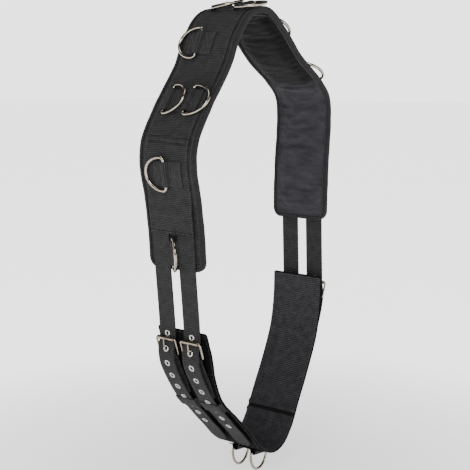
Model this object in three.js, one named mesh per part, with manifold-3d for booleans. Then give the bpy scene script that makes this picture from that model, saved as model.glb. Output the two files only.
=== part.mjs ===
// A padded girth belt for a horse (a lunging surcingle): a closed upright loop of a long padded
// pad, four webbing billets and a wide webbing girth with four roller buckles and fourteen D-rings.
// Millimetres, +Z up. The loop lies in the XZ plane and its webbing runs 123 mm wide along Y.
// The origin is the flat at the top of the pad's inner face, where the belt rests on a back.
import * as THREE from "three";
import { mergeVertices } from "three/addons/utils/BufferGeometryUtils.js";
import Module from "manifold-3d";

const wasm = await Module();
wasm.setup();

// ---------------------------------------------------------------- driving dimensions

const GAP = 0.3; // between pieces that touch
const PAD = {
  halfWidth: 61.5,
  cornerRadius: 18,
  edgeThickness: 8.7,
  middleThickness: 14,
  sheet: 1.3,
  sheetInset: 0.6,
  foamInset: 1.4,
  softStart: 1.2,
  softRise: 22,
  bindingReach: 9,
  bindingTape: 1,
};
const COVER = { halfWidth: 50, thickness: 1.7, endSetback: 62.7, overBillets: 34, ramp: 42 };
const BILLET = {
  halfWidth: 19,
  thickness: 2.2,
  centreY: 28.5,
  overPad: 2.9,
  underCover: 90,
  segment: 13,
  tipLength: 14,
  tipNarrow: 0.45,
};
const RING = { wire: 2.8, barHalf: 22.5, corner: 6.5, depth: 43 };
const SMALL_RING = { wire: 2.5, barHalf: 18.6, corner: 4.5, depth: 34 };
const TAB = { thickness: 1.6, rise: 3, ramp: 4, barRoom: 0.4, shoulder: 1.2, shortBy: 0.8 };
const GIRTH = {
  halfWidth: 58,
  band: 1.8,
  lining: 1.6,
  cornerRadius: 4,
  liningSetback: 2.5,
  liningInset: 1.5,
  endLength: 28,
  segments: 44,
};
const CHAPE = { halfWidth: 17.5, thickness: 3.4, wall: 1.7, slotHalf: 2.6, slotDepth: 7.5 };
const FLAT_SHAVE = 0.02; // taken off the two resting flats so that they are truly flat
const KEEPER = { from: 140, to: 164, thickness: 1.6, foot: 8, base: 3.6, shoulder: 1.4, flare: 1.3 };
const BUCKLE = {
  wire: 1.8,
  halfWidth: 22.3,
  corner: 3,
  length: 28.5,
  clearance: 0.3,
  rollerRadius: 3.5,
  rollerLength: 38,
  tongueWire: 1.4,
  eyeletHole: 3.5,
};
// Heel bar: below the flap edge and off the girth in mm, and its lean in degrees.
const HEEL = { inFromFlap: 42.5, standOff: 14.5, lean: 18.4 };
const ACROSS = new THREE.Vector3(0, 1, 0);

// Outer face of the pad, from its left end over the top to its right end, as [x, z].
const PAD_LINE = [
  [-157, -42],
  [-161.5, 20],
  [-169.5, 78],
  [-181, 136],
  [-176.5, 178],
  [-142, 238],
  [-93.5, 303],
  [-64, 360],
  [-26, 398],
  [20, 404],
  [64, 374],
  [118, 322],
  [176, 282],
  [207, 249],
  [213, 200],
  [206.5, 120],
  [203.3, 12],
];
// Outer face of the girth, from its right flap down and round to its left flap.
const GIRTH_LINE = [
  [194, -98],
  [192, -150],
  [182, -207],
  [158, -265],
  [127, -326],
  [99, -380],
  [74, -406],
  [44, -413],
  [8, -396],
  [-30, -354],
  [-68, -316],
  [-103, -281],
  [-122, -238],
  [-131, -196],
  [-146, -150],
];
// Billet below the buckle: how far its middle stands off the girth, by distance below the flap.
const TAIL_OFFSETS = [
  [90, 15],
  [109, 10.5],
  [128, 7],
  [142, 5.2],
  [162, 5],
  [185, 5.5],
  [210, 6.5],
  [245, 6],
  [284, 4.5],
];
// Billet through the buckle, in the buckle's plane: along it from the heel bar, and outward.
const THREADING = [
  [38, -9.2],
  [28.5, -5.6],
  [10.4, 4.4],
  [0, 7.9],
  [-18.3, 9.8],
];
const TONGUE_HOLE = 2; // place in THREADING where the tongue comes through
const BILLET_SPLIT = [44, -9.2]; // where the billet's upper part ends and its tail begins
const TONGUE_LINE = [
  [1.9, 3.4],
  [4.5, 2.2],
  [7.6, 1.9],
  [9.6, 3.1],
  [10.8, 5.2],
  [12.4, 7.2],
  [16, 7.9],
  [23, 6.9],
  [29.5, 5.7],
];
const CHAPE_START = [-3.4, -0.4]; // in the buckle's plane, beside the heel bar
// Chape: how far the middle of its two layers stands off the girth, by distance below the flap.
const CHAPE_OFFSETS = [
  [68, 10],
  [84, 5],
  [100, 2.2],
  [128, 2.2],
];

// D-rings on the pad: distance from the pad's middle, bars as [y, way it points, lift in degrees].
const NEAR = -1;
const FAR = 1;
const RING_STATIONS = [
  { name: "left_1", from: -95, tab: [-15, 39], bars: [[16, FAR, 0]] },
  { name: "left_2", from: -212, tab: [-40, 44], bars: [[30, NEAR, 11], [-17, NEAR, 0]] },
  { name: "left_3", from: -343, tab: [-36, 25], bars: [[-1, FAR, 0]] },
  { name: "left_4", from: -481.5, tab: [-8.6, 8.8], bars: [[1, NEAR, 42]] },
  { name: "top", from: 0, tab: [-44, 40], bars: [[24, NEAR, 8], [-28, NEAR, 0]] },
  { name: "right_1", from: 90, tab: [-43, 11], bars: [[-19.5, NEAR, 0]] },
  { name: "right_2", from: 212, tab: [-44, 40], bars: [[22, NEAR, 11], [-27, NEAR, 0]] },
  { name: "right_3", from: 343, tab: [-36, 25], bars: [[-1, FAR, 0]] },
  { name: "right_4", from: 481.5, tab: [-8.6, 8.8], bars: [[1, NEAR, 42]] },
];
const OVER_BINDING = 1.7; // height of the end tabs, whose rings reach over the binding
const GIRTH_RINGS = { pastMiddle: 14.5, tab: [-36, 38], bars: [22.5, -21], standOff: 1.2 };

// ---------------------------------------------------------------- materials

const finish = (color, roughness, metalness) =>
  new THREE.MeshStandardMaterial({ color, roughness, metalness });
const WEBBING = finish(0x2b2b2d, 0.8, 0);
const LINING = finish(0x37363b, 0.95, 0);
const FOAM = finish(0x8c8c88, 1, 0);
const BINDING = finish(0x1d1d1f, 0.85, 0);
const NICKEL = finish(0x9c8f7d, 0.3, 1);
const STEEL = finish(0xb0aca4, 0.35, 1);

// ---------------------------------------------------------------- lines in the loop's plane

// A smooth line in the XZ plane. flip is -1 where it runs the other way round the loop.
class Line {
  constructor(points, flip = 1) {
    const vectors = points.map(([x, z]) => new THREE.Vector3(x, 0, z));
    this.curve = new THREE.CatmullRomCurve3(vectors, false, "centripetal");
    this.curve.arcLengthDivisions = 1200;
    this.length = this.curve.getLength();
    this.flip = flip;
  }

  // Middle, tangent and outward normal at a distance along the line.
  at(distance) {
    const u = THREE.MathUtils.clamp(distance / this.length, 0, 1);
    const origin = this.curve.getPointAt(u);
    const tangent = this.curve.getTangentAt(u).multiplyScalar(this.flip);
    const normal = new THREE.Vector3(-tangent.z, 0, tangent.x);
    origin.addScaledVector(this.curve.getTangentAt(u), distance - u * this.length);
    return { origin, tangent, normal };
  }

  point(distance, outward, y) {
    const { origin, normal } = this.at(distance);
    return origin.addScaledVector(normal, outward).setY(y);
  }

  // Distance along the line of the place nearest to a point.
  nearest(point) {
    let best = 0;
    let least = Infinity;
    for (let s = 0; s <= this.length; s += 0.5) {
      const away = this.curve.getPointAt(s / this.length).distanceTo(point);
      if (away < least) [best, least] = [s, away];
    }
    return best;
  }
}

const padLine = new Line(PAD_LINE);
const girthLine = new Line(GIRTH_LINE);
const padMiddle = padLine.length / 2;

// ---------------------------------------------------------------- solids

const spread = (from, to, count) =>
  Array.from({ length: count + 1 }, (_, i) => from + ((to - from) * i) / count);

function geometryOf(positions, index) {
  const geometry = new THREE.BufferGeometry();
  geometry.setAttribute("position", new THREE.Float32BufferAttribute(positions, 3));
  geometry.setIndex(index);
  return facingOut(geometry);
}

// Turns every face round when the solid is inside out.
function facingOut(geometry) {
  const p = geometry.getAttribute("position");
  const index = geometry.index.array;
  const corner = (i) => new THREE.Vector3().fromBufferAttribute(p, index[i]);
  let volume = 0;
  for (let i = 0; i < index.length; i += 3)
    volume += corner(i).dot(corner(i + 1).cross(corner(i + 2)));
  if (volume < 0)
    for (let i = 0; i < index.length; i += 3)
      [index[i + 1], index[i + 2]] = [index[i + 2], index[i + 1]];
  return geometry;
}

// A sheet with a low and a high face: point(i, j, high) gives each corner of its grid.
function sheet(rows, columns, point) {
  const positions = [];
  const at = (i, j, high) => (i * columns + j) * 2 + (high ? 1 : 0);
  for (let i = 0; i < rows; i++)
    for (let j = 0; j < columns; j++)
      for (const high of [false, true]) positions.push(...point(i, j, high));
  const index = [];
  const quad = (a, b, c, d) => index.push(a, b, c, a, c, d);
  for (let i = 0; i < rows - 1; i++)
    for (let j = 0; j < columns - 1; j++) {
      quad(at(i, j, 1), at(i + 1, j, 1), at(i + 1, j + 1, 1), at(i, j + 1, 1));
      quad(at(i, j, 0), at(i, j + 1, 0), at(i + 1, j + 1, 0), at(i + 1, j, 0));
    }
  for (let i = 0; i < rows - 1; i++) {
    quad(at(i, 0, 0), at(i + 1, 0, 0), at(i + 1, 0, 1), at(i, 0, 1));
    const j = columns - 1;
    quad(at(i + 1, j, 0), at(i, j, 0), at(i, j, 1), at(i + 1, j, 1));
  }
  for (let j = 0; j < columns - 1; j++) {
    quad(at(0, j + 1, 0), at(0, j, 0), at(0, j, 1), at(0, j + 1, 1));
    const i = rows - 1;
    quad(at(i, j, 0), at(i, j + 1, 0), at(i, j + 1, 1), at(i, j, 1));
  }
  return geometryOf(positions, index);
}

// A closed loft through rings of points: around in a circle, or capped at both ends.
function loft(rings, around) {
  const size = rings[0].length;
  const positions = rings.flat().flatMap((v) => [v.x, v.y, v.z]);
  const index = [];
  const last = around ? rings.length : rings.length - 1;
  for (let i = 0; i < last; i++)
    for (let j = 0; j < size; j++) {
      const next = ((i + 1) % rings.length) * size;
      const [a, b] = [i * size + j, i * size + ((j + 1) % size)];
      const [c, d] = [next + ((j + 1) % size), next + j];
      index.push(a, b, c, a, c, d);
    }
  if (!around)
    for (let j = 1; j < size - 1; j++) {
      const end = (rings.length - 1) * size;
      index.push(0, j + 1, j, end, end + j, end + j + 1);
    }
  return geometryOf(positions, index);
}

// Round wire along a flat line of [a, b] points, in local coordinates a, b with c out of plane.
function wire(points, radius, sides, around) {
  const count = points.length;
  const rings = points.map(([a, b], i) => {
    const before = points[around ? (i + count - 1) % count : Math.max(i - 1, 0)];
    const after = points[around ? (i + 1) % count : Math.min(i + 1, count - 1)];
    const along = new THREE.Vector2(after[0] - before[0], after[1] - before[1]).normalize();
    return spread(0, 2 * Math.PI, sides)
      .slice(0, sides)
      .map((angle) => {
        const out = radius * Math.cos(angle);
        return new THREE.Vector3(a + along.y * out, b - along.x * out, radius * Math.sin(angle));
      });
  });
  return loft(rings, around);
}

function solidOf(geometry) {
  const plain = geometry.clone();
  for (const name of ["normal", "uv"]) plain.deleteAttribute(name);
  const merged = mergeVertices(plain, 1e-4);
  return new wasm.Manifold(
    new wasm.Mesh({
      numProp: 3,
      vertProperties: merged.getAttribute("position").array,
      triVerts: new Uint32Array(merged.index.array),
    }),
  );
}

function geometryFrom(solid) {
  const mesh = solid.getMesh();
  const geometry = new THREE.BufferGeometry();
  geometry.setAttribute("position", new THREE.BufferAttribute(mesh.vertProperties, 3));
  geometry.setIndex(new THREE.BufferAttribute(mesh.triVerts, 1));
  return geometry;
}

// ---------------------------------------------------------------- the group

const belt = new THREE.Group();

function add(name, geometry, material) {
  const mesh = new THREE.Mesh(geometry, material);
  mesh.name = name;
  belt.add(mesh);
  return mesh;
}

// Puts a mesh at an origin, with its local x and y along two directions at right angles.
function put(mesh, origin, x, y) {
  const basis = new THREE.Matrix4().makeBasis(x, y, new THREE.Vector3().crossVectors(x, y));
  mesh.applyMatrix4(basis.setPosition(origin));
}

// ---------------------------------------------------------------- pad

const topFlatHalf = 9; // half the length of the flat where the pad rests on a back
const topFlatMargin = 7; // no other station is nearer to that flat
const topSearch = 60; // the pad's top is within this distance of its middle
const innerFace = -PAD.middleThickness;
let padTop = 0;
for (let s = padMiddle - topSearch; s < padMiddle + topSearch; s += 0.5)
  if (padLine.point(s, innerFace, 0).z > padLine.point(padTop, innerFace, 0).z) padTop = s;
const restHeight =
  Math.min(
    padLine.point(padTop - topFlatHalf, innerFace, 0).z,
    padLine.point(padTop + topFlatHalf, innerFace, 0).z,
  ) - FLAT_SHAVE;

// Stations along the pad, closer together round its end corners and at the resting flat.
function padStations(inset) {
  const radius = PAD.cornerRadius - inset;
  const round = spread(0, Math.PI / 2, 4).map((a) => inset + radius * (1 - Math.cos(a)));
  const [from, to] = [PAD.cornerRadius + 4, padLine.length - PAD.cornerRadius - 4];
  const clear = topFlatHalf + topFlatMargin;
  const plain = spread(from, to, 32).filter((s) => Math.abs(s - padTop) > clear);
  const flat = [padTop - topFlatHalf, padTop, padTop + topFlatHalf];
  const ends = round.map((s) => padLine.length - s);
  return [...round, ...plain, ...flat, ...ends].sort((a, b) => a - b);
}

// Half the pad's width at a station, drawn in by an inset, with rounded end corners.
function padHalfWidth(s, inset) {
  const radius = PAD.cornerRadius - inset;
  const fromEnd = Math.min(s, padLine.length - s) - inset;
  const half = PAD.halfWidth - inset;
  if (fromEnd >= radius) return half;
  const rest = radius - Math.max(fromEnd, 0);
  return half - radius + Math.sqrt(Math.max(radius * radius - rest * rest, 0));
}

// The pad's inner face: thin under the binding, full thickness along the middle.
function padInner(s, y) {
  const edge = PAD.halfWidth - Math.abs(y);
  const end = Math.min(s, padLine.length - s);
  const inFrom = Math.min(edge, end) - PAD.bindingReach - PAD.softStart;
  const rise = THREE.MathUtils.smoothstep(inFrom, 0, PAD.softRise);
  return THREE.MathUtils.lerp(-PAD.edgeThickness, -PAD.middleThickness, rise);
}

function padLayer(name, material, inset, across, low, high) {
  const stations = padStations(inset);
  const geometry = sheet(stations.length, across.length, (i, j, isHigh) => {
    const s = stations[i];
    const y = across[j] * padHalfWidth(s, inset);
    const p = padLine.point(s, isHigh ? high(s, y) : low(s, y), y);
    const middle = Math.abs(across[j]) < 0.5;
    if (!isHigh && name === "pad_lining" && middle) p.z = Math.min(p.z, restHeight);
    return p.toArray();
  });
  return add(name, geometry, material);
}

const skin = PAD.sheet;
const core = skin + GAP;
const flatAcross = [-1, 0, 1];
const crowned = [-1, -0.8, -0.42, 0.42, 0.8, 1];
const inset = PAD.sheetInset;
padLayer("pad_shell", WEBBING, inset, flatAcross, () => -skin, () => 0);
padLayer("pad_foam", FOAM, PAD.foamInset, crowned, (s, y) => padInner(s, y) + core, () => -core);
padLayer("pad_lining", LINING, inset, crowned, padInner, (s, y) => padInner(s, y) + skin);

// Tape folded round the pad's whole edge, a channel section swept round a rounded rectangle.
function bindingGeometry() {
  const tape = PAD.bindingTape;
  const inside = [GAP, -PAD.edgeThickness - GAP];
  const outside = [inside[0] + tape, inside[1] - tape];
  const section = [
    [-PAD.bindingReach, outside[0]],
    [tape, outside[0]],
    [tape, outside[1]],
    [-PAD.bindingReach, outside[1]],
    [-PAD.bindingReach, inside[1]],
    [0, inside[1]],
    [0, inside[0]],
    [-PAD.bindingReach, inside[0]],
  ];
  const radius = PAD.cornerRadius;
  const edge = [];
  const straight = padStations(0).filter((s) => s >= radius && s <= padLine.length - radius);
  const side = (stations, y, out) => stations.forEach((s) => edge.push([s, y, 0, out]));
  const corner = (s, y, start) =>
    spread(0, Math.PI / 2, 4)
      .slice(1, -1)
      .forEach((a) => {
        const [along, out] = [Math.sin(start + a), Math.cos(start + a)];
        edge.push([s + radius * along, y + radius * out, along, out]);
      });
  const end = (s, y, along) =>
    [-1, 0, 1].forEach((k) => edge.push([s, k * y, along, 0]));
  const [near, far] = [radius, padLine.length - radius];
  const yCorner = PAD.halfWidth - radius;
  side(straight, PAD.halfWidth, 1);
  corner(far, yCorner, 0);
  end(padLine.length, -yCorner, 1);
  corner(far, -yCorner, Math.PI / 2);
  side([...straight].reverse(), -PAD.halfWidth, -1);
  corner(near, -yCorner, Math.PI);
  end(0, yCorner, -1);
  corner(near, yCorner, (3 * Math.PI) / 2);
  const rings = edge.map(([s, y, along, out]) =>
    section.map(([reach, n]) => padLine.point(s + along * reach, n, y + out * reach)),
  );
  return loft(rings, true);
}
add("pad_binding", bindingGeometry(), BINDING);

// Wide webbing sewn along the pad's outer face. It rises over the billets at both ends.
function coverLow(s) {
  const fromEnd = Math.min(s, padLine.length - s) - COVER.endSetback;
  const over = BILLET.overPad + BILLET.thickness / 2 + 2 * GAP;
  const { overBillets, ramp } = COVER;
  const fall = THREE.MathUtils.smoothstep(fromEnd, overBillets, overBillets + ramp);
  return THREE.MathUtils.lerp(over, GAP, fall);
}
const coverEnds = [COVER.endSetback, padLine.length - COVER.endSetback];
const coverStations = [
  ...coverEnds,
  ...padStations(0).filter((s) => s > coverEnds[0] + 6 && s < coverEnds[1] - 6),
].sort((a, b) => a - b);
add(
  "cover_webbing",
  sheet(coverStations.length, 2, (i, j, high) => {
    const s = coverStations[i];
    const n = coverLow(s) + (high ? COVER.thickness : 0);
    return padLine.point(s, n, (j ? 1 : -1) * COVER.halfWidth).toArray();
  }),
  WEBBING,
);

// ---------------------------------------------------------------- girth

const flatHalf = 10; // half the length of the flat where the girth bears on a belly
const flatMargin = 5; // no other station is nearer to that flat
const lowSearch = 90; // the girth's lowest place is within this distance of its middle
const liningFace = -GIRTH.band - GIRTH.lining - 2 * GAP;
const girthMiddle = girthLine.length / 2;
let girthLow = girthMiddle;
for (let s = girthMiddle - lowSearch; s < girthMiddle + lowSearch; s += 0.5)
  if (girthLine.point(s, liningFace, 0).z < girthLine.point(girthLow, liningFace, 0).z)
    girthLow = s;
const bellyHeight =
  Math.max(
    girthLine.point(girthLow - flatHalf, liningFace, 0).z,
    girthLine.point(girthLow + flatHalf, liningFace, 0).z,
  ) + FLAT_SHAVE;

function girthHalfWidth(s, half, setback) {
  const fromEnd = Math.min(s, girthLine.length - s) - setback;
  const rest = GIRTH.cornerRadius - Math.min(fromEnd, GIRTH.cornerRadius);
  return half - GIRTH.cornerRadius + Math.sqrt(GIRTH.cornerRadius ** 2 - rest ** 2);
}

function girthLayer(name, material, half, setback, low, high) {
  const round = [0, 0.3, 0.6, 1].map((k) => k * GIRTH.cornerRadius + setback);
  const [from, to] = [GIRTH.endLength, girthLine.length - GIRTH.endLength];
  const clear = flatHalf + flatMargin;
  const stations = [
    ...round,
    ...spread(from, to, GIRTH.segments).filter((s) => Math.abs(s - girthLow) > clear),
    ...[girthLow - flatHalf, girthLow, girthLow + flatHalf],
    ...round.map((s) => girthLine.length - s),
  ].sort((a, b) => a - b);
  const geometry = sheet(stations.length, 2, (i, j, isHigh) => {
    const s = stations[i];
    const y = (j ? 1 : -1) * girthHalfWidth(s, half, setback);
    const p = girthLine.point(s, isHigh ? high : low, y);
    if (!isHigh && name === "girth_lining" && p.z < bellyHeight) p.z = bellyHeight;
    return p.toArray();
  });
  add(name, geometry, material);
}

const bandLow = -GAP / 2 - GIRTH.band;
girthLayer("girth_band", WEBBING, GIRTH.halfWidth, 0, bandLow, -GAP / 2);
const liningHalf = GIRTH.halfWidth - GIRTH.liningInset;
const liningTop = bandLow - 2 * GAP;
girthLayer("girth_lining", LINING, liningHalf, GIRTH.liningSetback, liningFace, liningTop);

// ---------------------------------------------------------------- D-rings and their tabs

// Flat outline of a D as [along the bar, away from it]: a straight bar, two corners and a bow.
function ringOutline({ barHalf, corner, depth }) {
  const turn = corner * Math.SQRT1_2;
  const end = [barHalf + turn, corner - turn];
  const bow = spread(0, Math.PI, 12).map((angle) => [
    (barHalf + corner) * Math.cos(angle),
    corner + (depth - corner) * Math.sin(angle),
  ]);
  return [[-barHalf, 0], [0, 0], [barHalf, 0], end, ...bow, [-end[0], end[1]]];
}

// A ring turns about its bar. y is the bar's place, way the side it points to, lift its slope.
function ring(name, size, patch, barHeight, y, way, lift) {
  const mesh = add(name, wire(ringOutline(size), size.wire, 6, true), NICKEL);
  const origin = patch.origin.clone().addScaledVector(patch.normal, barHeight).setY(y);
  const axis = patch.tangent.clone().multiplyScalar(way);
  const angle = THREE.MathUtils.degToRad(lift);
  const out = ACROSS.clone().multiplyScalar(way * Math.cos(angle));
  out.addScaledVector(patch.normal, Math.sin(angle));
  put(mesh, origin, axis, out);
}

// Webbing laid across the belt and over the bars, with a tunnel for each bar.
function tab(name, patch, halfLength, base, size, ends, bars) {
  const top = base + TAB.rise + size.wire + GAP;
  const half = size.wire + TAB.barRoom;
  const rows = [[ends[0], base, 0]];
  for (const bar of [...bars].sort((a, b) => a - b)) {
    rows.push([bar - half - TAB.ramp, base, -1]);
    rows.push([bar - half, top, -1]);
    rows.push([bar + half, top, 1]);
    rows.push([bar + half + TAB.ramp, base, 1]);
  }
  rows.push([ends[1], base, 0]);
  const along = [-halfLength, halfLength];
  const geometry = sheet(along.length, rows.length, (i, j, high) => {
    const [y, n, way] = rows[j];
    const p = patch.origin.clone().addScaledVector(patch.tangent, along[i]);
    p.addScaledVector(patch.normal, high ? n + TAB.thickness : n);
    return p.setY(high ? y + way * TAB.shoulder : y).toArray();
  });
  add(name, geometry, WEBBING);
}

for (const { name, from, tab: ends, bars } of RING_STATIONS) {
  const patch = padLine.at(padMiddle + from);
  const onShell = name.endsWith("_4");
  const base = onShell ? OVER_BINDING : 2 * GAP + COVER.thickness + GAP;
  tab("tab_" + name, patch, RING.barHalf - TAB.shortBy, base, RING, ends, bars.map(([y]) => y));
  bars.forEach(([y, way, lift], k) => {
    const place = bars.length > 1 ? ["_far", "_near"][k] : "";
    ring("ring_" + name + place, RING, patch, base + TAB.rise, y, way, lift);
  });
}

const underPatch = girthLine.at(girthMiddle + GIRTH_RINGS.pastMiddle);
const underBase = GAP + GIRTH_RINGS.standOff;
tab(
  "tab_girth",
  underPatch,
  SMALL_RING.barHalf - TAB.shortBy,
  underBase,
  SMALL_RING,
  GIRTH_RINGS.tab,
  GIRTH_RINGS.bars,
);
GIRTH_RINGS.bars.forEach((y, k) => {
  const name = "ring_girth" + ["_far", "_near"][k];
  ring(name, SMALL_RING, underPatch, underBase + TAB.rise - GAP, y, 1, 90);
});

// ---------------------------------------------------------------- billets and buckles

// Everything at one end of the girth. side is -1 on the left and 1 on the right.
function girthEnd(side) {
  const label = side < 0 ? "left" : "right";
  const down = (distance) => (side < 0 ? girthLine.length - distance : distance);
  const offGirth = ([distance, n]) => girthLine.point(down(distance), n, 0);

  // The buckle's plane: heel bar, direction to the roller, direction outward.
  const lean = THREE.MathUtils.degToRad(HEEL.lean);
  const toRoller = new THREE.Vector3(side * Math.sin(lean), 0, Math.cos(lean));
  const outward = new THREE.Vector3(side * Math.cos(lean), 0, -Math.sin(lean));
  const heel = offGirth([HEEL.inFromFlap, HEEL.standOff]);
  const inBuckle = ([along, out]) =>
    heel.clone().addScaledVector(toRoller, along).addScaledVector(outward, out);

  // Middle line of the billets, from under the cover webbing to the tip.
  const padEnd = (distance) => (side < 0 ? distance : padLine.length - distance);
  const route = [
    ...[BILLET.underCover, 55, 22, 3].map((d) => padLine.point(padEnd(d), BILLET.overPad, 0)),
    ...THREADING.map(inBuckle),
    ...TAIL_OFFSETS.map(offGirth),
  ];
  const billet = new Line(route.map((p) => [p.x, p.z]), side);
  const split = billet.nearest(inBuckle(BILLET_SPLIT));

  function strap(name, from, to, y, tip) {
    const count = Math.round((to - from) / BILLET.segment);
    const stations = spread(from, to, count);
    const half = BILLET.thickness / 2;
    return sheet(stations.length, 2, (i, j, high) => {
      const fromTip = tip ? Math.min((to - stations[i]) / BILLET.tipLength, 1) : 1;
      const narrow = THREE.MathUtils.lerp(BILLET.tipNarrow, 1, Math.sqrt(fromTip));
      const across = y + (j ? 1 : -1) * BILLET.halfWidth * narrow;
      return billet.point(stations[i], high ? half : -half, across).toArray();
    });
  }

  // Folded webbing that holds a heel bar: an eye round the bar and a double strip sewn down.
  function chapeGeometry(y) {
    const line = new Line(
      [inBuckle(CHAPE_START), ...CHAPE_OFFSETS.map(offGirth)].map((p) => [p.x, p.z]),
      side,
    );
    const stations = spread(0, line.length, 7);
    const strip = sheet(stations.length, 2, (i, j, high) => {
      const n = (high ? 1 : -1) * (CHAPE.thickness / 2);
      return line.point(stations[i], n, y + (j ? 1 : -1) * CHAPE.halfWidth).toArray();
    });
    const hole = BUCKLE.wire + BUCKLE.clearance;
    const rod = (radius, length) =>
      new THREE.CylinderGeometry(radius, radius, length, 12).translate(heel.x, y, heel.z);
    const deep = 2 * CHAPE.slotDepth;
    const slot = new THREE.BoxGeometry(deep, 2 * CHAPE.slotHalf, deep).translate(heel.x, y, heel.z);
    const eye = solidOf(rod(hole + CHAPE.wall, 2 * CHAPE.halfWidth));
    return geometryFrom(
      solidOf(strip)
        .add(eye)
        .subtract(solidOf(rod(hole, 3 * CHAPE.halfWidth)))
        .subtract(solidOf(slot)),
    );
  }

  // One buckle: frame about its heel bar, roller on the front bar, tongue through the billet.
  function buckle(name, y) {
    const barHalf = BUCKLE.halfWidth - BUCKLE.corner;
    const radius = BUCKLE.corner;
    const front = BUCKLE.length - radius;
    const corners = [
      [barHalf, radius, -Math.PI / 2],
      [barHalf, front, 0],
      [-barHalf, front, Math.PI / 2],
      [-barHalf, radius, Math.PI],
    ];
    const points = corners.flatMap(([a, b, start]) =>
      spread(start, start + Math.PI / 2, 3).map((angle) => [
        a + radius * Math.cos(angle),
        b + radius * Math.sin(angle),
      ]),
    );
    const origin = heel.clone().setY(y);
    const across = ACROSS.clone().multiplyScalar(side);
    const frame = add("buckle_frame_" + name, wire(points, BUCKLE.wire, 6, true), NICKEL);
    put(frame, origin, across, toRoller);

    const inner = BUCKLE.wire + BUCKLE.clearance;
    const half = BUCKLE.rollerLength / 2;
    const profile = [
      [inner, -half],
      [BUCKLE.rollerRadius, -half],
      [BUCKLE.rollerRadius, half],
      [inner, half],
      [inner, -half],
    ].map(([r, a]) => new THREE.Vector2(r, a));
    const roller = add("buckle_roller_" + name, new THREE.LatheGeometry(profile, 14), NICKEL);
    roller.position.copy(inBuckle([BUCKLE.length, 0]).setY(y));

    const eyeRadius = inner + BUCKLE.tongueWire;
    const turns = spread(0, 2 * Math.PI, 10).slice(0, 10);
    const eye = turns.map((a) => [eyeRadius * Math.cos(a), eyeRadius * Math.sin(a)]);
    const curve = new THREE.SplineCurve(TONGUE_LINE.map(([a, b]) => new THREE.Vector2(a, b)));
    const shank = curve.getSpacedPoints(10).map((p) => [p.x, p.y]);
    const tongueSolid = solidOf(wire(eye, BUCKLE.tongueWire, 6, true)).add(
      solidOf(wire(shank, BUCKLE.tongueWire, 6, false)),
    );
    const tongue = add("buckle_tongue_" + name, geometryFrom(tongueSolid), STEEL);
    put(tongue, origin, toRoller, outward);
  }

  for (const [row, y] of [
    ["far", BILLET.centreY],
    ["near", -BILLET.centreY],
  ]) {
    const name = label + "_" + row;
    const upper = strap(name, 0, split - GAP, y, false);
    add("billet_upper_" + name, upper, WEBBING);
    const whole = solidOf(strap(name, split, billet.length, y, true));
    const at = billet.at(billet.nearest(inBuckle(THREADING[TONGUE_HOLE])));
    const hole = new THREE.CylinderGeometry(BUCKLE.eyeletHole, BUCKLE.eyeletHole, 12, 12);
    const turn = new THREE.Quaternion().setFromUnitVectors(ACROSS, at.normal);
    hole.applyQuaternion(turn).translate(at.origin.x, y, at.origin.z);
    add("billet_tail_" + name, geometryFrom(whole.subtract(solidOf(hole))), WEBBING);
    add("chape_" + name, chapeGeometry(y), WEBBING);
    buckle(name, y);
  }

  // One strip across the girth that makes a loop over each billet.
  const tailOverKeeper = TAIL_OFFSETS.find(([distance]) => distance >= KEEPER.from)[1] - 0.2;
  const inner = BILLET.centreY - BILLET.halfWidth;
  const outer = BILLET.centreY + BILLET.halfWidth;
  const over = tailOverKeeper + BILLET.thickness / 2 + 2 * GAP;
  const halfRows = [
    [outer + KEEPER.foot, GAP, 0],
    [outer + KEEPER.base, GAP, 1],
    [outer + KEEPER.shoulder, over, 1],
    [inner - KEEPER.shoulder, over, -1],
    [inner - KEEPER.base, GAP, -1],
  ];
  const rows = [...halfRows, ...[...halfRows].reverse().map(([y, n, way]) => [-y, n, -way])];
  const stations = spread(KEEPER.from, KEEPER.to, 3);
  const keeper = sheet(stations.length, rows.length, (i, j, high) => {
    const [y, n, way] = rows[j];
    const top = high ? KEEPER.thickness : 0;
    return girthLine.point(down(stations[i]), n + top, high ? y + way * KEEPER.flare : y).toArray();
  });
  add("keeper_" + label, keeper, WEBBING);
}

girthEnd(-1);
girthEnd(1);

// The origin goes to the resting flat at the top of the pad's inner face.
const rest = padLine.point(padTop, innerFace, 0);
belt.position.set(-rest.x, 0, -restHeight);

export default belt;
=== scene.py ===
"""Looks of a padded girth belt for a horse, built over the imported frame.

Shapes are worked out in millimetres in the plane of the loop and go to the row frame in metres.
Every band is a section carried along a line of the loop, and its UV map holds real metres:
u along the band and v across it, so that weave and ribs keep their real pitch.
"""

import math

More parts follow.
